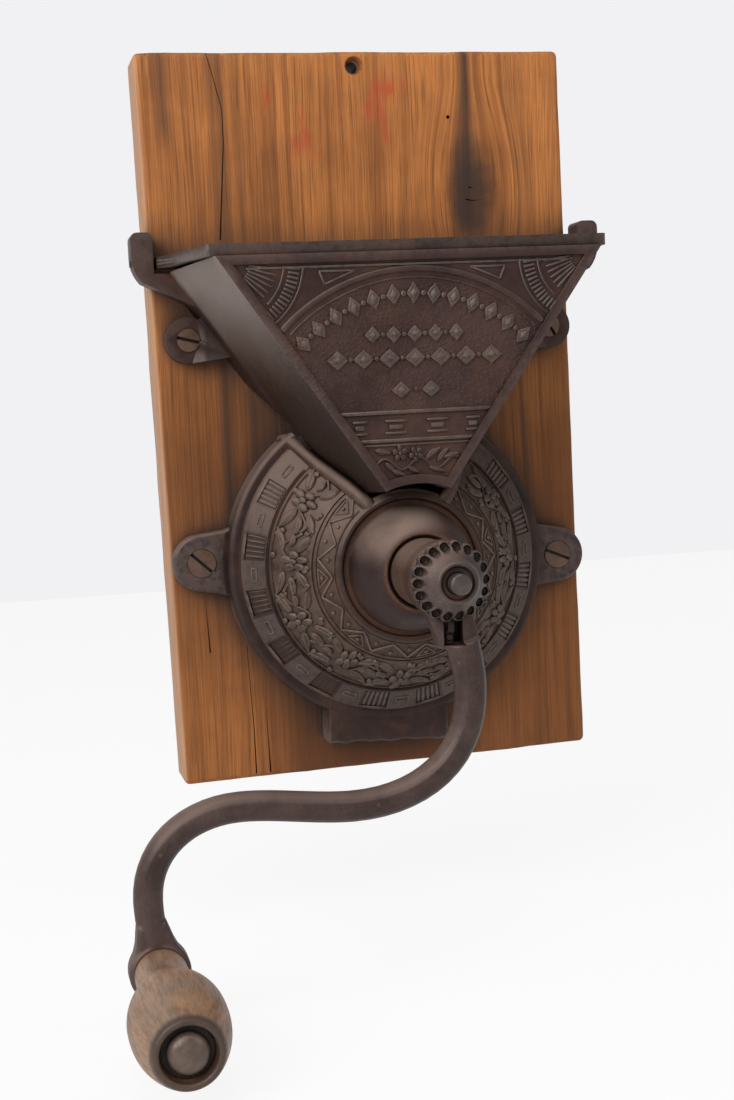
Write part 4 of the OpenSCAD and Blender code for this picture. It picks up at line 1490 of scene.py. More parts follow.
@dataclass
class Casing:
    """The domed grinder casing with its bands of ornament, lugs and spout lip."""
    rim_r: float = 61.3
    rim_d: float = 14.0
    wedge_r: float = 28.6
    wedge_up: Flat = (15.0, 120.0)
    wedge_out: Flat = (-3.0, 95.0)
    side_0: float = 0.4368
    side_up: float = 0.698
    side_out: float = -0.1359
    side_slant: float = 1.227
    gap: float = 0.6
    lug_x: float = 70.5
    lug_r: float = 10.8
    lug_t: float = 6.5
    lug_root: tuple = ((52.0, -16.5), (57.0, -14.6), (62.0, -12.2))
    seat: tuple = ((0.0, 1.0), (2.8, 1.0), (2.8, 3.6), (5.55, 6.5), (5.9, 7.6), (0.0, 7.6))
    lip_hw: float = 23.5
    lip_down: float = 69.6
    lip_wall: float = 3.6
    chute_y: float = -58.0
    chute_h: float = 26.0
    bore_r: float = 12.26
    bead_r: float = 2.9
    bead_line: tuple = ((59.4, 3.0), (59.2, 9.0), (58.0, 12.0), (55.6, 14.6), (51.4, 18.4), (46.9, 22.9),
                        (41.3, 30.6), (35.4, 38.8), (33.2, 41.2), (30.2, 43.6), (27.4, 45.2), (26.0, 45.6))
    # Section of the shell as (radius, height): the banded slope, the step under the dome and the hollow
    slope: tuple = ((57.6, 14.0), (57.2, 14.5), (57.1, 15.3), (48.4, 22.8), (48.1, 22.6), (47.7, 23.3),
                    (35.3, 40.3), (34.8, 40.1), (34.4, 41.3), (27.7, 46.5))
    step: tuple = ((24.7, 47.3), (23.9, 47.3), (23.0, 47.6))
    hollow: tuple = ((8.0, 52.0), (8.0, 43.2), (17.7, 43.2), (25.6, 41.8), (30.8, 40.0), (45.6, 19.4),
                     (49.6, 16.0), (52.9, 16.0), (52.9, 12.0), (57.3, 12.0), (57.3, 0.0))
    dome_in: float = 13.5
    dome_out: float = 22.7
    dome_d: float = 48.0
    dome_h: float = 19.0
    field: float = 9.4
    field_at: float = 7.2
    field_step: float = 22.5
    # Reeds between these angles are worn down
    worn: Flat = (205.0, 290.0)
    pocket: float = 0.5
    clear: float = 5.6
    # No motif further round than this is near the wedge, in radians
    far: float = 1.2
    flower_at: float = 304.0
    flower_step: float = 31.0
    flower_r: float = 4.0
    flower_h: float = 1.5
    spray_h: float = 1.05
    # Leaves round each flower: place from its middle, length, width and angle
    sprays: tuple = ((3.4, 2.2, 8.6, 2.8, 20), (3.8, -1.8, 8.8, 2.8, -20), (-3.4, 2.2, 8.4, 2.8, 162),
                     (-3.6, -2.2, 8.6, 2.8, 200), (5.6, 0.2, 7.4, 2.4, 2), (-5.4, 0.0, 5.0, 2.0, 176))
    buds: tuple = ((-8.8, -4.6), (-10.2, -3.4), (2.0, 5.0), (3.4, 4.6), (9.4, 4.8), (11.0, 3.8),
                   (-1.6, -5.0))
    tooth_step: float = 24.0
    steps: int = 216
    brick: Band = Band((57.0, 15.4), (48.5, 22.7))
    floral: Band = Band((47.6, 23.4), (35.3, 40.3))
    zigzag: Band = Band((34.4, 41.3), (27.7, 46.5))

    def outer_line(self) -> list[Flat]:
        """Outline from the rim up to the dome, as (radius, height).

        Returns:
            The points, from the foot of the rim inwards.
        """
        line = [(self.rim_r, 0.0), (self.rim_r, 11.4)]
        line += arc(self.rim_r - 2.2, 11.8, 2.2, 8, 90, 6)
        line += self.slope
        line += arc(26.0, 47.2, 1.2, 10, 160, 8)
        line += self.step
        for i in range(1, 19):
            a = math.radians(90 * i / 18)
            r = self.dome_in + (self.dome_out - self.dome_in) * math.cos(a) ** 1.28
            line.append((r, self.dome_d + self.dome_h * math.sin(a) ** 1.2))
        return line

    def hollow_line(self) -> list[Flat]:
        """The bearing bore and the hollow behind it, back to the rim."""
        return [(self.bore_r + 0.5, 66.6), (self.bore_r, 66.0), (self.bore_r, 52.0), *self.hollow]

    def side(self, up: float, d: float, off: float = 0.0) -> float:
        """Half width of the wedge for the hopper, grown by off."""
        return self.side_0 + self.side_up * up + self.side_out * d + off * self.side_slant

    def wedge(self) -> Piece:
        """The room that the hopper takes out of the casing.

        Returns:
            The solid that is cut out.
        """
        low, high = self.wedge_up
        corners = []
        for d in self.wedge_out:
            a, b = self.side(low, d, self.gap), self.side(high, d, self.gap)
            corners += [(-a, low, d), (a, low, d), (b, high, d), (-b, high, d)]
        return carve(block("wedge", corners), rod("wedge_end", self.wedge_r, -5, 100, sides=160))

    def lug(self, side: int) -> Piece:
        """A screw lug with a rounded upper edge.

        Args:
            side: -1 for the left lug and 1 for the right one.

        Returns:
            The lug with its screw seat.
        """
        end = arc(self.lug_x, 0, self.lug_r, -78, 78, 22)
        points = [*self.lug_root, *end, *((x, -y) for x, y in reversed(self.lug_root))]
        lug = plate("lug", [(side * x, y) for x, y in points], self.lug_t, 1.5, segments=4)
        seat = lathe("seat", self.seat, 48)
        shift(seat, (side * self.lug_x, 0.0, 0.0))
        return carve(lug, seat)

    def lip(self) -> Piece:
        """The flat spout lip, worn along its lower edge, hollow behind.

        Returns:
            The lip.
        """
        hw, down = self.lip_hw, self.lip_down
        worn = []
        for i in range(15):
            low = -down + 0.35 * math.sin(2.3 * i) + 0.25 * math.sin(5.1 * i)
            worn.append((-hw + 2 * hw * i / 14, low))
        lip = plate("lip", worn + [(hw, -45.0), (-hw, -45.0)], self.rim_d - 0.4, 1.1, segments=3)
        return carve(lip, self.chute(12.0))

    def chute(self, height: float) -> Piece:
        """The room behind the spout lip, up to a height."""
        room = box(0.0, self.chute_y, 2 * (self.lip_hw - self.lip_wall), self.chute_h)
        return plate("chute", room, height, 0.0, -1.0)

    def beads(self, turn: float) -> list[Piece]:
        """Rounded beads up both edges of the wedge, in the casing's own turned frame.

        Args:
            turn: turn of the casing about the shaft, in degrees.

        Returns:
            The left bead and the right one.
        """
        made = []
        spin = Matrix.Rotation(math.radians(-turn), 4, "Z")
        for side in (-1, 1):
            path = []
            for (r0, d0), (r1, d1) in zip(self.bead_line, self.bead_line[1:]):
                for t in (0.0, 0.25, 0.5, 0.75):
                    r, d = r0 + (r1 - r0) * t, d0 + (d1 - d0) * t
                    a = self.edge_angle(r, d, self.gap + self.bead_r * 0.8)
                    path.append(spin @ Vector((side * r * math.sin(a), r * math.cos(a), d)))
            made.append(tube("bead", path, [self.bead_r] * len(path)))
        return made

    def edge_angle(self, r: float, d: float, off: float) -> float:
        """Angle from the top at which a circle meets the wedge grown by off.

        Args:
            r: radius of the circle.
            d: its height over the board.
            off: how far the wedge is grown.

        Returns:
            The angle in radians.
        """
        low, high = 0.2, 1.4
        for _ in range(40):
            a = (low + high) / 2
            if r * math.sin(a) > self.side(r * math.cos(a), d, off):
                high = a
            else:
                low = a
        return low

    def build(self) -> Piece:
        """Turns the casing and adds lugs, lip, beads and the wedge.

        Returns:
            The casing in its place.
        """
        obj = lathe("casing_shell", self.outer_line() + self.hollow_line(), self.steps, closed=True)
        carve(obj, self.lug(1), Joinery.ADD)
        carve(obj, self.lug(-1), Joinery.ADD)
        carve(obj, self.lip(), Joinery.ADD)
        carve(obj, self.chute(11.0))
        carve(obj, self.pockets())
        for bead in self.beads(CASE_TURN):
            carve(obj, bead, Joinery.ADD)
        stand(obj, CASE_TURN)
        carve(obj, stand(self.wedge()))
        with editing(obj):
            bpy.ops.mesh.remove_doubles(threshold=0.00001)
        return smooth(obj, 34.0)

    def free(self, at: float, half: float, r: float, d: float) -> bool:
        """Whether a motif at an angle keeps clear of the wedge and its beads.

        Args:
            at: angle of the motif, in degrees clockwise from the top.
            half: half its width, in degrees.
            r: its radius.
            d: its height over the board.

        Returns:
            True where it is clear.
        """
        a = math.radians((at - CASE_TURN + 180) % 360 - 180)
        edge = abs(a) - math.radians(half)
        if edge > self.far:
            return True
        return edge > 0 and r * math.sin(edge) > self.side(r * math.cos(edge), d, self.gap + self.clear)

    def fields(self) -> list[float]:
        """Angles of the reeded fields of the brick band."""
        angles = [k * self.field_step + self.field_at for k in range(16)]
        return [a for a in angles if self.free(a, 5.0, self.brick.mid, 18.0)]

    def pockets(self) -> Piece:
        """The sunk grounds of the reeded fields.

        Returns:
            The solid that is cut out.
        """
        r = Relief("pockets", self.pocket)
        deep = self.brick.width
        for at in self.fields():
            self.brick.bend([r.add(box(0, deep / 2, self.field, deep - 2.4), 1.0, 0.0)], at)
        return r.done()

    def bricks(self) -> Piece:
        """The brick band: reeds in the sunk fields and a small frame on each plain field between them.

        Returns:
            The relief in its place.
        """
        r = Relief("brick_band", self.pocket + 0.2)
        band = self.brick
        mid = band.width / 2
        corners = box(0.0, mid, 4.8, 2.0)
        corners.append(corners[0])
        for at in self.fields():
            worn = -0.35 if self.worn[0] < at < self.worn[1] else -0.08
            reeds = []
            for i in range(5):
                x = self.field * (i - 2) / 5
                reeds.append(r.line([(x, 1.5), (x, band.width - 1.5)], 1.2, worn))
            band.bend(reeds, at)
            plain = at + self.field_step / 2
            if self.free(plain, 4.0, band.mid, 18.0):
                band.bend([r.line([a, b], 0.6, 0.4) for a, b in zip(corners, corners[1:])], plain)
        return stand(r.done(), CASE_TURN)

    def rails(self) -> Piece:
        """Thin raised lines that close the bands.

        Returns:
            The relief in its place.
        """
        r = Relief("band_lines", 0.4)
        places = ((self.brick, self.brick.width - 0.5, 0.8, 0.6), (self.floral, 0.8, 0.8, 0.5),
                  (self.zigzag, 0.6, 0.6, 0.35), (self.zigzag, self.zigzag.width - 0.4, 0.6, 0.4))
        for band, y, width, height in places:
            d = (band.outer[1] + band.inner[1]) / 2
            free = [a for a in range(20, 341, 2) if self.free(a, 1.0, band.mid, d)]
            path = [(-math.radians(a - 180) * band.mid, y) for a in free]
            band.bend([r.line(path, width, height)], 180.0)
        return stand(r.done(), CASE_TURN)

    def garland(self) -> Piece:
        """The floral band: flowers, leaves, twigs and buds in turn.

        Returns:
            The relief in its place.
        """
        r = Relief("floral_band", 0.5)
        band = self.floral
        across = band.outer[0] - band.inner[0]
        mid = across / 2
        for k in range(10):
            at = self.flower_at - self.flower_step * k
            if not self.free(at, 7.0, band.mid, 30.0):
                continue
            lift = 1.5 if k % 2 else -1.2
            parts = r.flower(0.0, mid + lift, self.flower_r, 18 + 23 * k, self.flower_h)
            for x, y, length, width, turn in self.sprays:
                parts += r.spray(x, mid + y, length, width, turn, self.spray_h)
            twig = [(-11.2 + 22.4 * t / 20, mid + 2.6 * math.sin(0.44 * t + 2 * k)) for t in range(21)]
            parts.append(r.line(twig, 0.8, 0.75))
            for x, y in self.buds:
                parts.append(r.add(ring(x, mid + y, 0.95, 0.75, 10), 1.1, 0.4))
            band.bend(parts, at, band.width / across)
        return stand(r.done(), CASE_TURN)

    def teeth(self) -> Piece:
        """The zigzag band: raised zigzag lines, triangles and dots.

        Returns:
            The relief in its place.
        """
        r = Relief("zigzag_band", 0.4)
        band = self.zigzag
        w = band.width
        half = math.radians(self.tooth_step / 2) * band.mid
        for k in range(15):
            at = self.tooth_step * k
            if not self.free(at, 6.0, band.mid, 44.0):
                continue
            tip = (0.0, w - 1.1)
            parts = [r.line(path, 0.75, 0.65) for path in ([(-half, 1.4), tip], [tip, (half, 1.4)])]
            inner = [(-half * 0.5, 1.5), (half * 0.5, 1.5), (0.0, w * 0.66), (-half * 0.5, 1.5)]
            if k % 2:
                for a, b in zip(inner, inner[1:]):
                    parts.append(r.line([a, b], 0.5, 0.45))
            for x, share in ((0.0, 0.36), (half, 0.64)):
                parts.append(r.add(ring(x, w * share, 0.65, 0.65, 8), 0.7, 0.3))
            band.bend(parts, at)
        return stand(r.done(), CASE_TURN)

    def dress(self, finishes: Finishes) -> None:
        """Places the casing and its ornament.

        Args:
            finishes: the materials of the mill.
        """
        settle(self.build(), Body.MILL, finishes.iron, Slot.IRON, "grinder_casing")
        for relief in (self.bricks(), self.rails(), self.garland(), self.teeth()):
            settle(relief, Body.MILL, finishes.iron, Slot.IRON)


@dataclass
class Crank:
    """The crank: journal, eye, curved arm and the flared end that holds the knob."""
    reach: float = 103.5
    drop: float = 121.5
    arm_d: float = 95.5
    eye_d: float = 97.5
    eye_r: float = 13.2
    eye_t: float = 9.0
    sleeve_r: float = 12.1
    sleeve_step: float = 82.0
    sleeve_end: float = 90.0
    bearing_d: float = 52.0
    boss_r: float = 10.2
    boss_len: float = 10.0
    step_r: float = 22.0
    root: float = 6.75
    mid: float = 5.4
    end: float = 4.8
    taper: float = 0.3
    flare_at: float = 0.9
    flare_over: float = 0.1
    flare_by: float = 2.4
    voxel: float = 0.42
    # Corners from the knob's axis, and from the shaft's; boxes as middle and size
    cheek: tuple = ((-9.6, 1.0), (-7.4, 9.0), (-6.6, 16.0), (3.0, 17.0), (5.6, 10.0), (9.2, 3.0))
    neck: tuple = ((-9.0, -9.0), (-6.6, -13.0), (-4.6, -18.0), (-3.6, -23.0), (9.0, -23.0), (8.6, -16.0),
                   (9.0, -9.0))
    pocket: tuple = (1.1, -17.4, 6.8, 9.4)
    slot: tuple = (3.1, -17.0, 2.8, 8.6)
    cheek_t: float = 8.4
    neck_t: float = 8.6
    pocket_deep: float = 2.3
    slot_deep: float = 6.6
    curves: tuple = (((0, 0.02), (0.012, -0.11), (0.062, -0.2), (0.064, -0.296)),
                     ((0.064, -0.296), (0.068, -0.51), (-0.125, -0.609), (-0.348, -0.606)),
                     ((-0.348, -0.606), (-0.473, -0.604), (-0.6, -0.576), (-0.715, -0.576)),
                     ((-0.715, -0.576), (-0.889, -0.576), (-1.022, -0.667), (-1.023, -0.807)),
                     ((-1.023, -0.807), (-1.023, -0.87), (-1.008, -0.93), (-1.0, -0.99)))

    def line(self) -> list[Vector]:
        """Middle line of the arm.

        Returns:
            Points from the shaft to the knob.
        """
        points = []
        for n, curve in enumerate(self.curves):
            for i in range(0 if n == 0 else 1, 15):
                t = i / 14
                k = ((1 - t) ** 3, 3 * t * (1 - t) ** 2, 3 * t * t * (1 - t), t ** 3)
                x = sum(w * p[0] for w, p in zip(k, curve))
                y = sum(w * p[1] for w, p in zip(k, curve))
                points.append(Vector((x * self.reach, y * self.drop, self.arm_d)))
        return points

    def thickness(self, t: float) -> float:
        """Radius of the arm at a share of its length.

        Args:
            t: share of the length, from the shaft.

        Returns:
            The radius.
        """
        if t < self.taper:
            return self.root + (self.mid - self.root) * math.sin(math.radians(90 / self.taper * t))
        body = self.mid + (self.end - self.mid) * (t - self.taper) / (1 - self.taper)
        return body + self.flare_by * max(0.0, (t - self.flare_at) / self.flare_over) ** 2

    def build(self) -> Piece:
        """Melts journal, eye, arm and end together, then cuts the step and the pocket.

        Returns:
            The crank in its place.
        """
        path = self.line()
        n = len(path) - 1
        arm = tube("arm", path, [self.thickness(i / n) for i in range(n + 1)])
        carve(arm, plate("flat", box(0, 0, 80, 80), 20.0, 0.0, self.arm_d + 5.5))
        low = self.arm_d - self.boss_len / 2
        eye = rod("eye", self.eye_r, self.eye_d - self.eye_t, self.eye_d, sides=96, edge=0.8)
        end = rod("end", self.boss_r, low, low + self.boss_len, (-self.reach, -self.drop), 72, 1.2)
        cheek = [(-self.reach + x, -self.drop + y) for x, y in reversed(self.cheek)]
        flare = plate("flare", cheek, self.cheek_t, 1.6, self.arm_d - self.cheek_t / 2, 3)
        neck = plate("neck", self.neck, self.neck_t, 2.0, self.eye_d - self.neck_t, 4)
        carve(arm, rod("above", self.step_r, self.eye_d, self.eye_d + 20, sides=120))
        body = fuse("crank_arm", [arm, eye, end, flare, neck], self.voxel, 9)
        carve(body, plate("pocket", box(*self.pocket), 8.0, 0.0, self.eye_d - self.pocket_deep))
        carve(body, plate("slot", box(*self.slot), 12.0, 0.0, self.eye_d - self.slot_deep))
        carve(body, lathe("sleeve", self.sleeve_line(), 96), Joinery.ADD)
        return stand(smooth(body, 44.0))

    def sleeve_line(self) -> list[Flat]:
        """Section of the journal, from its foot in the bearing to the eye.

        Returns:
            The points as (radius, height).
        """
        r, low, step, high = self.sleeve_r, self.bearing_d, self.sleeve_step, self.sleeve_end
        foot = [(0.0, low), (r - 0.4, low), (r, low + 0.4)]
        return foot + [(r, step), (r - 0.5, step + 1.0), (r - 0.5, high), (0.0, high)]

    def dress(self, finishes: Finishes) -> None:
        """Places the crank."""
        settle(self.build(), Body.CRANK, finishes.crank, Slot.CRANK, "crank")


@dataclass
class Regulator:
    """The scalloped nut that sets the grind."""
    seat_d: float = 97.5
    cups: int = 18
    cup_at: float = 11.85
    lean: float = 0.09
    wall: tuple = ((0.7, 1.6), (1.3, 2.1), (3.4, 2.1), (4.3, 1.8))
    hollow: tuple = ((3.2, 1.1), (3.9, 1.5), (5.5, 1.62), (11.0, 1.75))
    cone: tuple = ((3.62, 0.0), (11.6, 0.0), (12.0, 0.5), (12.0, 4.6), (11.4, 6.2), (10.5, 7.4), (9.4, 8.8),
                   (8.2, 10.2), (7.5, 11.4), (7.1, 12.4), (6.6, 12.9), (5.9, 12.8), (5.5, 12.3), (5.3, 11.6),
                   (3.62, 11.4))
    voxel: float = 0.2

    def ring(self, name: str, steps: Sequence[Flat]) -> list[Piece]:
        """Sets one bar along the shaft in each cup of the rim.

        Args:
            name: name of the bars.
            steps: height over the seat and radius at each end and bend of a bar.

        Returns:
            The bars.
        """
        bars = []
        for i in range(self.cups):
            a = math.radians(360 * (i + 0.5) / self.cups - 90)
            path = []
            for d, _ in steps:
                reach = self.cup_at - self.lean * (d - steps[0][0])
                path.append(Vector((reach * math.cos(a), reach * math.sin(a), d)))
            bars.append(tube(name, path, [radius for _, radius in steps]))
        return bars

    def build(self) -> Piece:
        """Turns the cone and boss, sets the ring of cups round it and hollows them.

        Returns:
            The nut in its place.
        """
        cone = lathe("cone", self.cone, 144, closed=True)
        body = fuse("rim", [cone, *self.ring("cup", self.wall)], self.voxel, 1)
        carve(body, fuse("hollows", self.ring("hollow", self.hollow), self.voxel, 1))
        obj = fuse("regulator_nut_cast", [body], self.voxel, 2)
        shift(obj, (0.0, 0.0, self.seat_d))
        return stand(smooth(obj, 60.0))

    def dress(self, finishes: Finishes) -> None:
        """Places the nut."""
        settle(self.build(), Body.REGULATOR, finishes.nut, Slot.IRON, "regulator_nut")


@dataclass
class Knob:
    """The turned wooden knob on its riveted pin."""
    at: Flat = (-103.5, -121.5)
    low: float = 100.5
    bore: float = 3.26
    length: float = 73.5
    neck: float = 17.0
    widest: float = 15.3
    peak: float = 0.53
    end_r: float = 10.5
    recess: float = 4.6
    neck_r: float = 8.8
    neck_line: tuple = ((8.0, 0.0), (8.6, 0.4), (8.8, 1.2), (8.7, 5.0), (8.65, 11.0), (8.8, 17.0))
    # Section of the pin: its riveted back, and its head from the seat upwards
    back: tuple = ((0.0, -11.6), (3.2, -11.6), (4.5, -11.2), (4.8, -10.4), (4.6, -10.05), (3.2, -10.0))
    head: tuple = ((3.2, 0.0), (6.2, 0.0), (6.2, 1.2), (6.0, 2.2), (5.3, 3.2), (3.6, 3.9), (1.6, 4.15),
                   (0.0, 4.2))
    washer: float = 1.2

    def profile(self) -> list[Flat]:
        """Section of the knob from its neck to the recess in its end.

        Returns:
            The points as (radius, height).
        """
        line = [(self.bore, 0.0), *self.neck_line]
        long = self.length - self.neck
        for i in range(1, 36):
            t = i / 36
            if t < self.peak:
                r = self.neck_r + (self.widest - self.neck_r) * math.sin(math.pi / 2 * t / self.peak) ** 1.4
            else:
                s = (t - self.peak) / (1 - self.peak)
                r = self.end_r + (self.widest - self.end_r) * math.cos(math.pi / 2 * s ** 1.25)
            line.append((r, self.neck + long * t))
        line += arc(self.end_r - 0.9, self.length - 1.1, 1.1, 30, 170, 8)
        floor = self.length - self.recess
        return line + [(8.5, self.length - 1.7), (8.2, floor + 0.4), (8.0, floor), (self.bore, floor)]

    def build(self) -> Piece:
        """Turns the knob.

        Returns:
            The knob in its place.
        """
        obj = lathe("knob_barrel", self.profile(), 96, closed=True)
        shift(obj, (self.at[0], self.at[1], self.low))
        return stand(smooth(obj, 42.0))

    def rivet(self) -> Piece:
        """The pin with its low domed head and its riveted back end.

        Returns:
            The pin in its place.
        """
        seat = self.length - self.recess + self.washer
        obj = lathe("knob_rivet", [*self.back, *((r, seat + up) for r, up in self.head)], 64)
        shift(obj, (self.at[0], self.at[1], self.low))
        return stand(smooth(obj, 42.0))

    def dress(self, finishes: Finishes) -> None:
        """Places knob and pin."""
        settle(self.build(), Body.KNOB, finishes.knob, Slot.KNOB, "wooden_knob")
        settle(self.rivet(), Body.CRANK, finishes.pin, Slot.STEEL, "knob_pin")


@dataclass
class Screws:
    """The slotted wood screws that hold the mill to its board."""
    upper: tuple = ((-70.6, 86.7, -15.0), (70.6, 86.7, -58.0))
    lower: tuple = ((-70.5, 0.0, -41.0), (70.5, 0.0, -21.0))
    upper_r: Flat = (4.45, 2.3)
    lower_r: Flat = (5.45, 2.75)
    face: float = 6.5
    slot_w: float = 1.15
    slot_deep: float = 0.9

    def screw(self, at: Spot, head_r: float, shank_r: float) -> Piece:
        """One screw with a slightly crowned head and a cut slot.

        Args:
            at: place of the screw, and the angle of its slot in degrees.
            head_r: radius of the head.
            shank_r: radius of the shank.

        Returns:
            The lying screw.
        """
        f = self.face
        cone = head_r - shank_r
        shank = [(0.0, f - 25.0), (shank_r * 0.3, f - 24.6), (shank_r, f - 19.0), (shank_r, f - cone)]
        head = [(head_r - 0.15, f - 0.1), (head_r, f + 0.15), (head_r - 0.25, f + 0.5)]
        crown = [(head_r * 0.7, f + 0.68), (0.0, f + 0.75)]
        obj = lathe("screw", shank + head + crown, 48)
        slot = plate("slot", box(0.0, 0.0, 3 * head_r, self.slot_w), 3.0, 0.0, f - self.slot_deep)
        with editing(slot):
            bpy.ops.transform.rotate(value=-math.radians(at[2]), orient_axis="Z", center_override=(0, 0, 0))
        carve(obj, slot)
        shift(obj, (at[0], at[1], 0.0))
        return obj

    def pair(self, name: str, places: Sequence[Spot], radii: Flat, turn: float) -> Piece:
        """Two screws as one piece."""
        obj = join(name, [self.screw(at, *radii) for at in places])
        return stand(smooth(obj, 40.0), turn)

    def dress(self, finishes: Finishes) -> None:
        """Places the screws.

        Args:
            finishes: the materials of the mill.
        """
        upper = self.pair("hopper_screws", self.upper, self.upper_r, 0.0)
        settle(upper, Body.MILL, finishes.screw, Slot.SCREW, "upper_screws")
        lower = self.pair("casing_screws", self.lower, self.lower_r, CASE_TURN)
        settle(lower, Body.MILL, finishes.screw, Slot.SCREW, "lower_screws")


@dataclass
class Inside:
    """The pieces that keep the shape of the frame: shaft, burrs, pins and washers."""
    shaft: tuple[str, ...] = ("drive_shaft",)
    # these get the nearly black spring finish, which also paints the shade of the notch under the nut
    dark: tuple[str, ...] = ("detent_spring", "detent_rivet", "knob_washer")
    pins: tuple[str, ...] = ("lid_pins", "runner_pin", "fixed_burr_screws")
    burrs: tuple[str, ...] = ("back_plate", "fixed_burr", "runner_burr")

    def dress(self, finishes: Finishes) -> None:
        """Gives the nodes of the frame their finishes.

        Args:
            finishes: the materials of the mill.
        """
        pairs = ((self.shaft, finishes.shaft), (self.dark, finishes.spring), (self.pins, finishes.pin),
                 (self.burrs, finishes.burr))
        for nodes, finish in pairs:
            for node in nodes:
                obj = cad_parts[node]
                obj.data.materials.clear()
                obj.data.materials.append(finish)
                LOG.info("%s: finish %s", node, finish.name)


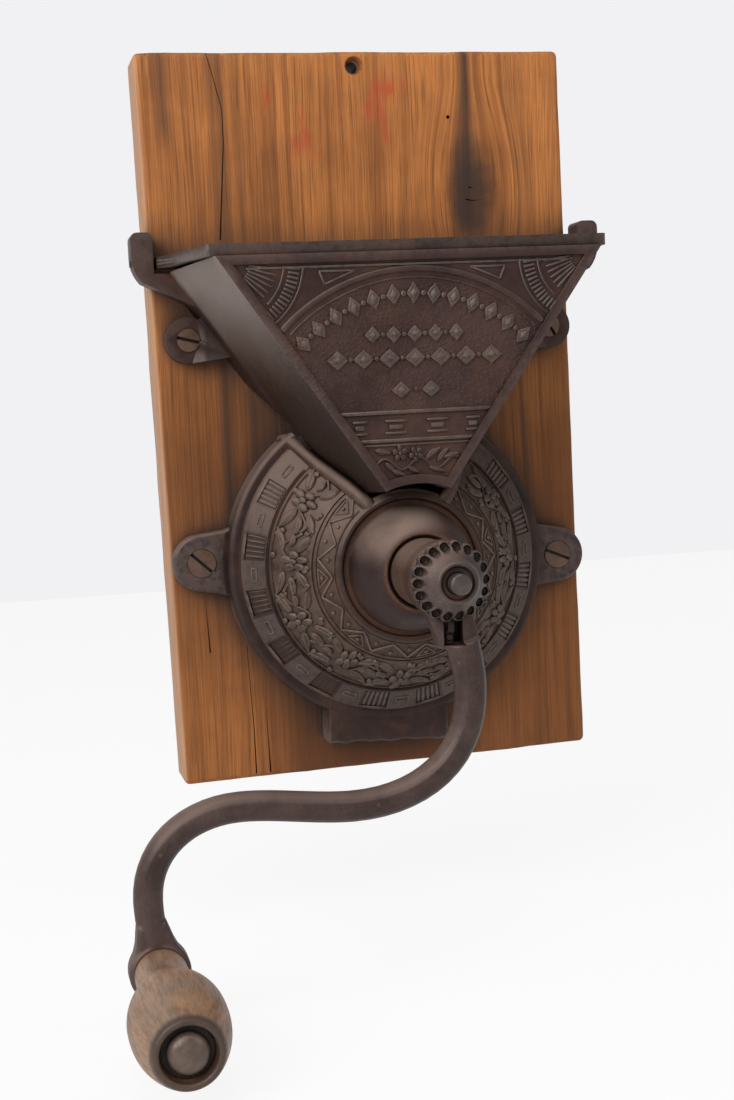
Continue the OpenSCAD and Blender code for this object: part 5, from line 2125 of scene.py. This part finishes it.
@dataclass
class Studio:
    """Pale floor, soft lamps and the camera at the photograph's angle."""
    place: Spot = (-0.15207, -0.66965, 0.06123)
    right: Spot = (0.97302, -0.2253, -0.04975)
    up: Spot = (0.06792, 0.07363, 0.99497)
    back: Spot = (-0.2205, -0.9715, 0.08694)
    lens: float = 56.13
    sensor: float = 36.0
    floor_z: float = -0.142
    floor_far: float = 1.26
    wall_tone: Tone = (0.88, 0.88, 0.895)
    sky_tone: Tone = (1.0, 0.99, 0.98)
    floor_tone: Tone = (0.86, 0.86, 0.86)
    floor_rough: float = 0.9
    floor_half: float = 3.0
    glow: float = 0.88
    fill: float = 0.27
    room: float = 0.25
    room_y: Flat = (0.2, 0.85)
    aim: Spot = (0.0, -0.05, 0.03)
    # Name, place, size and watts of each lamp
    lamps: tuple = (("key", (-1.0, -1.0, 0.72), 1.0, 18.5), ("top", (-0.1, -0.7, 1.5), 0.8, 8.0),
                    ("side", (1.1, -0.9, 0.6), 0.8, 4.0))

    def camera(self) -> None:
        """Adds the camera."""
        data = bpy.data.cameras.new("camera")
        data.lens = self.lens
        data.sensor_fit = "VERTICAL"
        data.sensor_height = self.sensor
        data.clip_start = 0.01
        obj = bpy.data.objects.new("camera", data)
        columns = (self.right, self.up, self.back, self.place)
        obj.matrix_world = Matrix([[c[i] for c in columns] for i in range(3)] + [[0, 0, 0, 1]])
        bpy.context.collection.objects.link(obj)
        bpy.context.scene.camera = obj

    def seen(self, tree: bpy.types.NodeTree) -> Socket:
        """One where the camera, a mirror or glass looks at the surface.

        Args:
            tree: the node tree that gets the nodes.

        Returns:
            The share as a socket.
        """
        path = tree.nodes.new("ShaderNodeLightPath")
        total = path.outputs["Is Camera Ray"]
        for name in ("Is Glossy Ray", "Is Transmission Ray"):
            add = tree.nodes.new("ShaderNodeMath")
            add.operation = "MAXIMUM"
            tree.links.new(total, add.inputs[0])
            tree.links.new(path.outputs[name], add.inputs[1])
            total = add.outputs[0]
        return total

    def world(self) -> None:
        """A pale even sky: one tone for the camera and a plain fill light."""
        world = bpy.data.worlds.new("studio")
        bpy.context.scene.world = world
        world.use_nodes = True
        tree = world.node_tree
        lit = tree.nodes["Background"]
        lit.inputs["Color"].default_value = (*self.sky_tone, 1.0)
        lit.inputs["Strength"].default_value = self.fill
        seen = tree.nodes.new("ShaderNodeBackground")
        seen.inputs["Color"].default_value = (*self.wall_tone, 1.0)
        way = tree.nodes.new("ShaderNodeSeparateXYZ")
        tree.links.new(tree.nodes.new("ShaderNodeTexCoord").outputs["Generated"], way.inputs[0])
        dim = tree.nodes.new("ShaderNodeMapRange")
        for socket, value in zip(dim.inputs[1:5], (*self.room_y, self.room, 1.0)):
            socket.default_value = value
        tree.links.new(way.outputs["Y"], dim.inputs[0])
        full = tree.nodes.new("ShaderNodeMath")
        full.operation = "MAXIMUM"
        tree.links.new(dim.outputs[0], full.inputs[0])
        tree.links.new(tree.nodes.new("ShaderNodeLightPath").outputs["Is Camera Ray"], full.inputs[1])
        tree.links.new(full.outputs[0], seen.inputs["Strength"])
        mix = tree.nodes.new("ShaderNodeMixShader")
        tree.links.new(self.seen(tree), mix.inputs[0])
        tree.links.new(lit.outputs[0], mix.inputs[1])
        tree.links.new(seen.outputs[0], mix.inputs[2])
        tree.links.new(mix.outputs[0], tree.nodes["World Output"].inputs["Surface"])

    def floor(self) -> None:
        """A white floor that keeps a faint shadow."""
        half, far, z = self.floor_half, self.floor_far, self.floor_z
        obj = outline("floor", [(-half, -half, z), (half, -half, z), (half, far, z), (-half, far, z)])
        mat = bpy.data.materials.new("floor_white")
        mat.use_nodes = True
        tree = mat.node_tree
        shader = tree.nodes["Principled BSDF"]
        shader.inputs["Base Color"].default_value = (*self.floor_tone, 1.0)
        shader.inputs["Roughness"].default_value = self.floor_rough
        glow = tree.nodes.new("ShaderNodeEmission")
        mix = tree.nodes.new("ShaderNodeMixShader")
        share = tree.nodes.new("ShaderNodeMath")
        share.operation = "MULTIPLY"
        share.inputs[1].default_value = self.glow
        tree.links.new(self.seen(tree), share.inputs[0])
        tree.links.new(share.outputs[0], mix.inputs[0])
        tree.links.new(shader.outputs[0], mix.inputs[1])
        tree.links.new(glow.outputs[0], mix.inputs[2])
        tree.links.new(mix.outputs[0], tree.nodes["Material Output"].inputs["Surface"])
        obj.data.materials.append(mat)

    def lamp(self, name: str, place: Spot, size: float, watts: float) -> None:
        """A square soft lamp that looks at the mill.

        Args:
            name: name of the lamp.
            place: where it hangs.
            size: length of its side.
            watts: its power.
        """
        data = bpy.data.lights.new(name, "AREA")
        data.size = size
        data.energy = watts
        obj = bpy.data.objects.new(name, data)
        obj.location = place
        obj.rotation_euler = (Vector(self.aim) - Vector(place)).to_track_quat("-Z", "Y").to_euler()
        bpy.context.collection.objects.link(obj)

    def build(self) -> None:
        """Sets the whole stage."""
        bpy.context.scene.view_settings.view_transform = "Standard"
        self.camera()
        self.world()
        self.floor()
        for name, place, size, watts in self.lamps:
            self.lamp(name, place, size, watts)


def main() -> None:
    """Builds the stage, the finishes and every sub-assembly."""
    logging.basicConfig(level=logging.INFO, format="%(message)s")
    Studio().build()
    finishes = Finishes.make()
    for part in (Board(), Hopper(), Casing(), Crank(), Regulator(), Knob(), Screws(), Inside()):
        part.dress(finishes)


if __name__ == "__main__":
    main()
